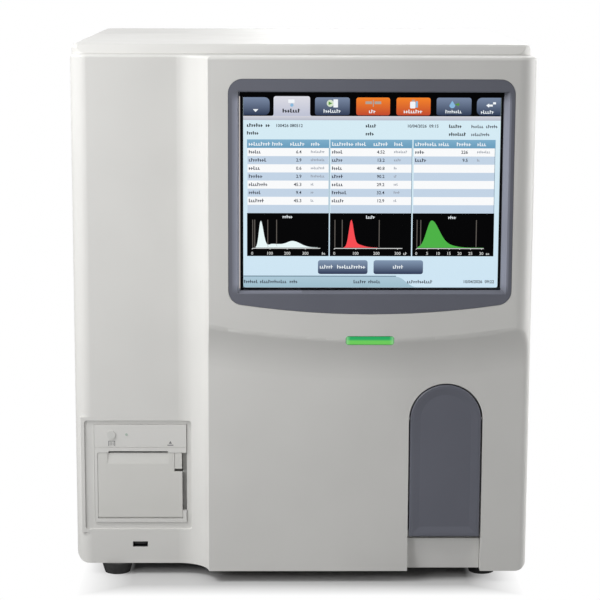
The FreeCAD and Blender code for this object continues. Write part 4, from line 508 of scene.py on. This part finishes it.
screen_piece("screen_field", [plate(-0.3, -0.6, SCREEN_WIDTH, SCREEN_HEIGHT, 1.6)], 1,
             lit("screen_pale", (216, 238, 247), (209, 232, 246), 20, 150))
black_areas = [plate(-0.2, -0.5, SCREEN_WIDTH - 0.1, STRIP_TOP)]
black_areas += [plate(left, GRAPH_TOP, right, GRAPH_LOW) for left, right in COLUMNS]
screen_dark = lit("screen_dark", (3, 3, 4))
screen_piece("screen_black", black_areas, 2, screen_dark)
screen_piece("screen_strip", [plate(-0.2, STRIP_TOP, SCREEN_WIDTH - 0.1, STRIP_LOW)], 2,
             lit("screen_strip_grey", (214, 214, 222), (184, 188, 202), STRIP_TOP, STRIP_LOW))
cold_tabs = [plate(-0.1, TAB_TOP, 21.6, TAB_LOW, 4.2, (False, True, True, False)),
             plate(59.2, TAB_TOP, 88.0, TAB_LOW, 1.9), plate(160.0, TAB_TOP, 188.9, TAB_LOW, 1.9),
             plate(193.4, TAB_TOP, SCREEN_WIDTH - 0.3, TAB_LOW, 4.2, (True, False, False, True))]
warm_tabs = [plate(93.4, TAB_TOP, 121.4, TAB_LOW, 1.9), plate(126.7, TAB_TOP, 155.0, TAB_LOW, 1.9)]
screen_piece("screen_cold_tabs", cold_tabs, 3,
             lit("screen_slate", (122, 137, 163), (46, 58, 84), TAB_TOP, TAB_LOW))
screen_piece("screen_warm_tabs", warm_tabs, 3,
             lit("screen_orange", (247, 132, 44), (196, 74, 48), TAB_TOP, TAB_LOW))
screen_piece("screen_active_tab", [active_tab()], 3,
             lit("screen_light_tab", (222, 222, 230), (192, 196, 214), 0, STRIP_TOP))

headers, pale_rows, blue_rows = [], [], []
for left, right in COLUMNS:
    headers.append(plate(left, TABLE_TOP, right, HEADER_LOW))
    for row in range(ROW_COUNT):
        top = HEADER_LOW + row * ROW_PITCH
        low = min(top + ROW_PITCH, GRAPH_TOP)
        (blue_rows if row % 2 else pale_rows).append(plate(left + 0.4, top, right - 0.5, low))
screen_piece("screen_headers", headers, 2,
             lit("screen_steel_blue", (128, 176, 205), (106, 158, 190), TABLE_TOP, HEADER_LOW))
screen_piece("screen_pale_rows", pale_rows, 2, lit("screen_white", (252, 253, 254)))
screen_piece("screen_blue_rows", blue_rows, 2, lit("screen_row_blue", (197, 214, 232)))
rules = [plate(x, HEADER_LOW, x + 0.45, GRAPH_TOP) for x in (71.1, 139.9, 209.0)]
rules.append(plate(-0.2, STATUS_TOP, STATUS_BEND, STATUS_HEAD))
screen_piece("screen_rules", rules, 2, lit("screen_rule_blue", (108, 134, 152)))
status = [(-0.2, STATUS_HEAD), (STATUS_BEND, STATUS_HEAD)]
for step in range(1, STATUS_STEPS + 1):
    share = step / STATUS_STEPS
    fall = (STATUS_FOOT - STATUS_HEAD) * (1 - math.cos(math.pi * share)) / 2
    status.append((STATUS_BEND + STATUS_RUN * share, STATUS_HEAD + fall))
status += [(SCREEN_WIDTH - 0.4, STATUS_FOOT), (SCREEN_WIDTH - 0.4, STATUS_LOW),
           (-0.2, STATUS_LOW)]
screen_piece("screen_status", [status], 2,
             lit("screen_status_blue", (176, 203, 218), (160, 192, 206), STATUS_TOP, STATUS_LOW))
buttons = [plate(62.3, BUTTON_TOP, 104.0, BUTTON_LOW, 2.0),
           plate(109.0, BUTTON_TOP, 150.6, BUTTON_LOW, 2.0)]
screen_piece("screen_buttons", buttons, 2,
             lit("screen_button", (132, 152, 178), (42, 52, 82), BUTTON_TOP, BUTTON_LOW))

screen_piece("screen_white_curve", [hill(10.0, 62.0, GRAPH_BASE, (14.2, 1.45, 2.3, 22.6),
                                         (24.0, 3.4, 10.0, 3.0), (41.5, 5.0, 6.3, 4.8))], 3,
             lit("screen_curve_white", (236, 250, 250)))
screen_piece("screen_red_curve", [hill(83.6, 112.0, GRAPH_BASE, (89.9, 1.9, 2.0, 20.4),
                                       (91.5, 2.4, 6.5, 3.6))], 3,
             lit("screen_curve_red", (250, 78, 84)))
screen_piece("screen_green_curve", [hill(145.6, 201.0, GRAPH_BASE, (157.2, 4.1, 6.2, 22.4),
                                         (168.0, 6.0, 8.0, 2.4))], 3,
             lit("screen_curve_green", (78, 180, 72)))
markers = [plate(x, 103.1, x + 0.7, GRAPH_BASE - 0.4)
           for x in (7.2, 8.9, 19.8, 27.2, 76.0, 82.1, 113.1, 144.8, 147.9, 194.5)]
screen_piece("screen_markers", markers, 3, lit("screen_marker_grey", (98, 93, 88)))

axis_marks = [plate(7.0, 126.9, 64.2, 127.5), plate(75.8, 126.9, 133.0, 127.5),
              plate(144.9, 126.9, 201.4, 127.5)]
NUMBER_PLACES = (("0", 7.1), ("100", 22.1), ("200", 36.5), ("300", 51.7), ("0", 75.9),
                 ("100", 94.0), ("200", 111.3), ("300", 129.1), ("0", 144.7), ("5", 153.9),
                 ("10", 163.2), ("15", 172.3), ("20", 181.1), ("25", 190.2), ("30", 199.5))
axis_marks += [plate(x - 0.25, 127.5, x + 0.25, 128.2) for text, x in NUMBER_PLACES]
axis_marks += words([(65.6, 130.4, 68.6, 132.7), (134.0, 130.4, 137.0, 132.7),
                     (203.4, 130.4, 206.4, 132.7)])
screen_piece("screen_axes", axis_marks, 4, lit("screen_axis_white", (214, 216, 214)))
numerals("screen_axis_numbers", [(text, x, 0.5, 130.1, 132.7) for text, x in NUMBER_PLACES], 4,
         lit("screen_number_white", (206, 208, 206)), 0.012)

white_words = [(66.3, 10.7, 80.7, 13.7), (104.0, 11.0, 109.6, 13.9), (132.8, 10.9, 148.4, 13.9),
               (167.4, 11.0, 181.1, 13.9), (196.9, 11.3, 207.8, 14.2), (32.6, 99.2, 41.0, 101.8),
               (102.4, 99.4, 109.8, 102.0), (171.3, 99.6, 177.9, 102.2),
               (63.9, 141.2, 75.0, 144.3), (78.4, 141.2, 102.4, 144.3),
               (125.3, 141.2, 134.1, 144.3)]
for left, _ in COLUMNS:
    white_words += [(left + 1.5, 38.0, left + 19.5, 41.1), (left + 20.9, 38.0, left + 29.9, 41.1),
                    (left + 36.0, 38.0, left + 48.1, 41.1), (left + 53.2, 38.0, left + 60.7, 41.1)]
screen_piece("screen_white_words", words(white_words, 0.38), 4,
             lit("screen_word_white", (240, 246, 250)))
bold_words = [(32.3, 10.4, 47.1, 13.6), (2.8, 22.6, 16.2, 25.5), (18.4, 22.6, 22.1, 25.5),
              (2.8, 29.1, 12.6, 31.9), (101.4, 23.0, 110.2, 25.8), (101.4, 29.6, 108.4, 32.4),
              (170.6, 23.2, 181.3, 26.0), (170.6, 29.8, 184.9, 32.6)]
screen_piece("screen_bold_words", words(bold_words, 0.5), 4, lit("screen_ink", (24, 27, 34)))

LABEL_WIDTHS = ((10.1, 14.8, 9.5, 11.6, 15.8, 10.0, 12.8), (8.9, 9.0, 8.6, 9.4, 9.4, 12.4, 10.2),
                (7.7, 9.5))
UNIT_WIDTHS = ((11.6, 11.6, 11.6, 11.6, 2.6, 2.6, 2.6), (11.0, 6.0, 2.6, 2.4, 3.6, 5.2, 2.6),
               (11.0, 2.4))
VALUES = (("6.4", "2.9", "0.6", "2.9", "45.3", "9.4", "45.3"),
          ("4.52", "13.2", "40.8", "90.2", "29.2", "32.4", "12.9"), ("226", "9.5"))
dark_words = [(189.2, 23.5, 199.4, 26.1), (201.4, 23.5, 211.2, 26.1), (189.2, 30.1, 204.6, 32.7),
              (0.2, 154.0, 12.0, 156.8), (13.8, 154.0, 36.2, 156.8), (38.6, 154.0, 45.4, 156.8),
              (92.3, 154.0, 103.0, 156.8), (104.8, 154.0, 115.0, 156.8),
              (137.4, 154.0, 158.8, 156.8)]
dark_numbers = [("100426 080512", 27.2, 0, 23.0, 25.7), ("10/04/2026  09:15", 136.4, 0, 23.2, 25.9),
                ("10/04/2026  09:22", 210.6, 1, 154.0, 156.7)]
soft_words = []
for (left, _), widths, units, values in zip(COLUMNS, LABEL_WIDTHS, UNIT_WIDTHS, VALUES):
    for row, (width, unit, value) in enumerate(zip(widths, units, values)):
        top = HEADER_LOW + row * ROW_PITCH
        dark_words.append((left + 1.5, top + 1.7, left + 1.5 + width, top + 4.6))
        dark_numbers.append((value, left + 45.3, 1, top + 1.8, top + 4.6))
        soft_words.append((left + 53.1, top + 1.9, left + 53.1 + unit, top + 4.1))
screen_piece("screen_dark_words", words(dark_words, 0.42), 4, lit("screen_word_dark", (58, 64, 78)))
screen_piece("screen_soft_words", words(soft_words, 0.42), 4,
             lit("screen_word_soft", (150, 156, 168)))
numerals("screen_numbers", dark_numbers, 4, lit("screen_number_dark", (48, 53, 66)), 0.018)

white_icons = [[(7.7, 10.8), (12.3, 10.8), (10.0, 13.2)], plate(74.4, 2.6, 78.2, 9.3, 0.4),
               plate(138.0, 4.3, 142.4, 9.9, 0.8), [(201.1, 7.4), (203.6, 5.6), (203.6, 9.2)],
               plate(203.6, 6.6, 206.6, 8.2), plate(206.8, 4.6, 209.2, 6.4),
               plate(37.0, 2.8, 42.2, 5.6, 0.3)]
screen_piece("screen_white_icons", white_icons, 4, lit("screen_icon_white", (244, 248, 252)))
screen_piece("screen_pale_icons", [disc(71.8, 5.9, 2.9)], 4,
             lit("screen_icon_pale", (216, 230, 206)))
green_icons = [[(70.4, 4.4), (73.6, 5.9), (70.4, 7.4)], plate(175.6, 6.0, 177.4, 7.2),
               [(177.4, 4.8), (179.3, 6.6), (177.4, 8.4)]]
screen_piece("screen_green_icons", green_icons, 5, lit("screen_icon_green", (92, 152, 62)))
drop = [(173.0, 3.5)] + corner(173.0, 7.3, 2.4, 0, 6) + corner(173.0, 7.3, 2.4, 90, 6)[1:]
blue_icons = [drop, plate(142.6, 4.0, 144.4, 9.2), disc(40.0, 7.4, 1.4)]
screen_piece("screen_blue_icons", blue_icons, 5, lit("screen_icon_blue", (138, 186, 222)))
grey_icons = [plate(101.0, 4.2, 106.4, 6.4), plate(108.6, 4.2, 114.0, 6.4),
              plate(107.1, 3.0, 107.9, 8.6), plate(139.4, 2.8, 142.0, 4.2)]
screen_piece("screen_grey_icons", grey_icons, 4, lit("screen_icon_grey", (176, 166, 156)))


# Small details on the front

OPEN_LEFT, OPEN_RIGHT, OPEN_LOW, OPEN_TOP = -49.1, 167.4, 258.2, 418.9
SLOPE_FOOT = -201.5
PAINTED_SHADE_LEFT, PAINTED_SHADE_LOW, PAINTED_SHADE_TOP, PAINTED_HIGHLIGHT_WIDTH = 2.2, 1.25, 3.6, 0.7


def slope_piece(name, outlines, material):
    """Thin plates on the display frame's inner slopes, from outlines in X and Z."""
    def place(x, z, side):
        gap = max(OPEN_LEFT - x, x - OPEN_RIGHT, OPEN_LOW - z, z - OPEN_TOP)
        return (MM * x, MM * (SLOPE_FOOT - gap - 0.04 - 0.1 * side), MM * z)

    plates(name, outlines, place, material)


# Painted shade: dark strips at the foot of the bottom, left and top slopes: corners from low right,
# clockwise from the front
near_glass = [(OPEN_RIGHT, OPEN_LOW), (OPEN_LEFT, OPEN_LOW), (OPEN_LEFT, OPEN_TOP),
              (OPEN_RIGHT, OPEN_TOP)]
on_slope = [(OPEN_RIGHT, OPEN_LOW - PAINTED_SHADE_LOW), (OPEN_LEFT - PAINTED_SHADE_LEFT, OPEN_LOW - PAINTED_SHADE_LOW),
            (OPEN_LEFT - PAINTED_SHADE_LEFT, OPEN_TOP + PAINTED_SHADE_TOP), (OPEN_RIGHT, OPEN_TOP + PAINTED_SHADE_TOP)]
painted_shade_sides = [(near_glass[side], near_glass[side + 1], on_slope[side + 1], on_slope[side])
             for side in range(3)]
slope_piece("bezel_painted_shade", painted_shade_sides, screen_dark)
# Painted highlight: a thin glowing pale strip beside the left dark strip, standing in for a bright
# edge highlight
highlight_right = OPEN_LEFT - PAINTED_SHADE_LEFT
slope_piece("bezel_painted_highlight", [plate(highlight_right - PAINTED_HIGHLIGHT_WIDTH, OPEN_TOP, highlight_right, OPEN_LOW)],
            lit("bead_painted_highlight", (206, 198, 192)))


PRINTER_FACE = -174.6


def printer_mark(name, outlines, material, height=0.06):
    """Printed marks on the printer's header, from outlines in X and Z."""
    plates(name, outlines,
           lambda x, z, side: (MM * x, MM * (PRINTER_FACE - height * side), MM * z),
           material)


mark_ink = moulded("mark_ink", (0.16, 0.16, 0.165), 0.55)
marks = [plate(-166.0, 119.4, -165.4, 114.9), plate(-165.4, 119.4, -160.8, 118.9),
         plate(-160.8, 119.4, -160.2, 114.9), plate(-164.6, 118.4, -164.2, 115.4),
         plate(-163.3, 118.4, -162.9, 115.4), plate(-162.0, 118.4, -161.6, 115.4),
         [(-112.4, 119.4), (-111.0, 116.9), (-113.8, 116.9)], plate(-115.0, 116.0, -109.8, 115.2)]
printer_mark("printer_marks", marks, mark_ink)
light_lens = moulded("light_lens", (0.42, 0.5, 0.44), 0.25)
printer_mark("power_light", [disc(-150.3, 125.0, 1.1)], light_lens, 0.3)


# Floor and light

def light(name, place, aim, size, power):
    """A white rectangular lamp that points from its place to its aim."""
    data = bpy.data.lights.new(name, "AREA")
    data.shape = "RECTANGLE"
    data.size, data.size_y = size
    data.energy = power
    item = bpy.data.objects.new(name, data)
    item.location = place
    item.rotation_euler = (Vector(aim) - Vector(place)).to_track_quat("-Z", "Y").to_euler()
    bpy.context.collection.objects.link(item)


# Painted shadow: the floor's grey under the object, and where in metres it fades to white
FLOOR_SHADOW_GREY, FLOOR_LIT = 0.5, 0.35
SHADOW_WIDTH, SHADOW_DEPTH = (0.145, 0.19), (0.205, 0.236)


def stage():
    """A floor that is grey under and just around the object, a painted shadow that also keeps its
    cast shadow, and turns plain white just outside it.
    """
    bpy.ops.mesh.primitive_plane_add(size=60)
    floor = bpy.context.object
    floor.name = "floor"
    material, tree, shader = new_material("floor_white")
    tree.nodes.remove(shader)
    shadow_grey_floor = node(tree, "ShaderNodeBsdfDiffuse", Color=(FLOOR_SHADOW_GREY, FLOOR_SHADOW_GREY, FLOOR_SHADOW_GREY, 1))
    far_floor = node(tree, "ShaderNodeEmission", Color=(1, 1, 1, 1), Strength=1)
    lit_floor = node(tree, "ShaderNodeBsdfDiffuse", Color=(FLOOR_LIT, FLOOR_LIT, FLOOR_LIT, 1))
    aside = spread(tree, maths(tree, "ABSOLUTE", axis_value(tree, "X")), 0, 1, *SHADOW_WIDTH)
    ahead = spread(tree, maths(tree, "ABSOLUTE", axis_value(tree, "Y")), 0, 1, *SHADOW_DEPTH)
    seen_floor = tree.nodes.new("ShaderNodeMixShader")
    tree.links.new(maths(tree, "MAXIMUM", aside, ahead), seen_floor.inputs["Fac"])
    tree.links.new(shadow_grey_floor.outputs[0], seen_floor.inputs[1])
    tree.links.new(far_floor.outputs[0], seen_floor.inputs[2])
    either = tree.nodes.new("ShaderNodeMixShader")
    path = tree.nodes.new("ShaderNodeLightPath")
    tree.links.new(path.outputs["Is Camera Ray"], either.inputs["Fac"])
    tree.links.new(lit_floor.outputs[0], either.inputs[1])
    tree.links.new(seen_floor.outputs[0], either.inputs[2])
    tree.links.new(either.outputs[0], tree.nodes["Material Output"].inputs["Surface"])
    floor.data.materials.append(material)


SKY_LIT, SKY_SEEN = 0.2, 1.0


def surround():
    """A world that lights the object softly, and looks white itself, also in gloss and glass."""
    world = bpy.data.worlds.new("world")
    bpy.context.scene.world = world
    world.use_nodes = True
    tree = world.node_tree
    sky = tree.nodes["Background"]
    sky.inputs["Color"].default_value = (1, 1, 1, 1)
    path = tree.nodes.new("ShaderNodeLightPath")
    seen = maths(tree, "MAXIMUM", path.outputs["Is Camera Ray"], path.outputs["Is Glossy Ray"])
    seen = maths(tree, "MAXIMUM", seen, path.outputs["Is Transmission Ray"])
    level = node(tree, "ShaderNodeMapRange", To_Min=SKY_LIT, To_Max=SKY_SEEN)
    tree.links.new(seen, level.inputs["Value"])
    tree.links.new(level.outputs["Result"], sky.inputs["Strength"])


surround()
stage()
light("key", (-0.45, -0.8, 0.4), (0, -0.2, 0.25), (0.25, 0.25), 1.6)
light("graze", (-0.55, -0.5, 0.35), (0, -0.2, 0.25), (0.2, 0.3), 0.6)
light("side", (-0.9, -0.4, 1.0), (0, -0.2, 0.2), (0.3, 0.3), 6.6)
light("high", (-0.7, -0.7, 1.2), (0, -0.2, 0.2), (0.4, 0.4), 4.4)
light("right", (1.3, 0, 0.5), (0, 0, 0.25), (1.2, 1.0), 16)
light("rear", (0.5, 1.5, 0.8), (0, 0, 0.25), (1.2, 1.0), 9)
light("top", (-0.3, 0, 1.8), (0, 0, 0.3), (1.5, 1.5), 3.0)
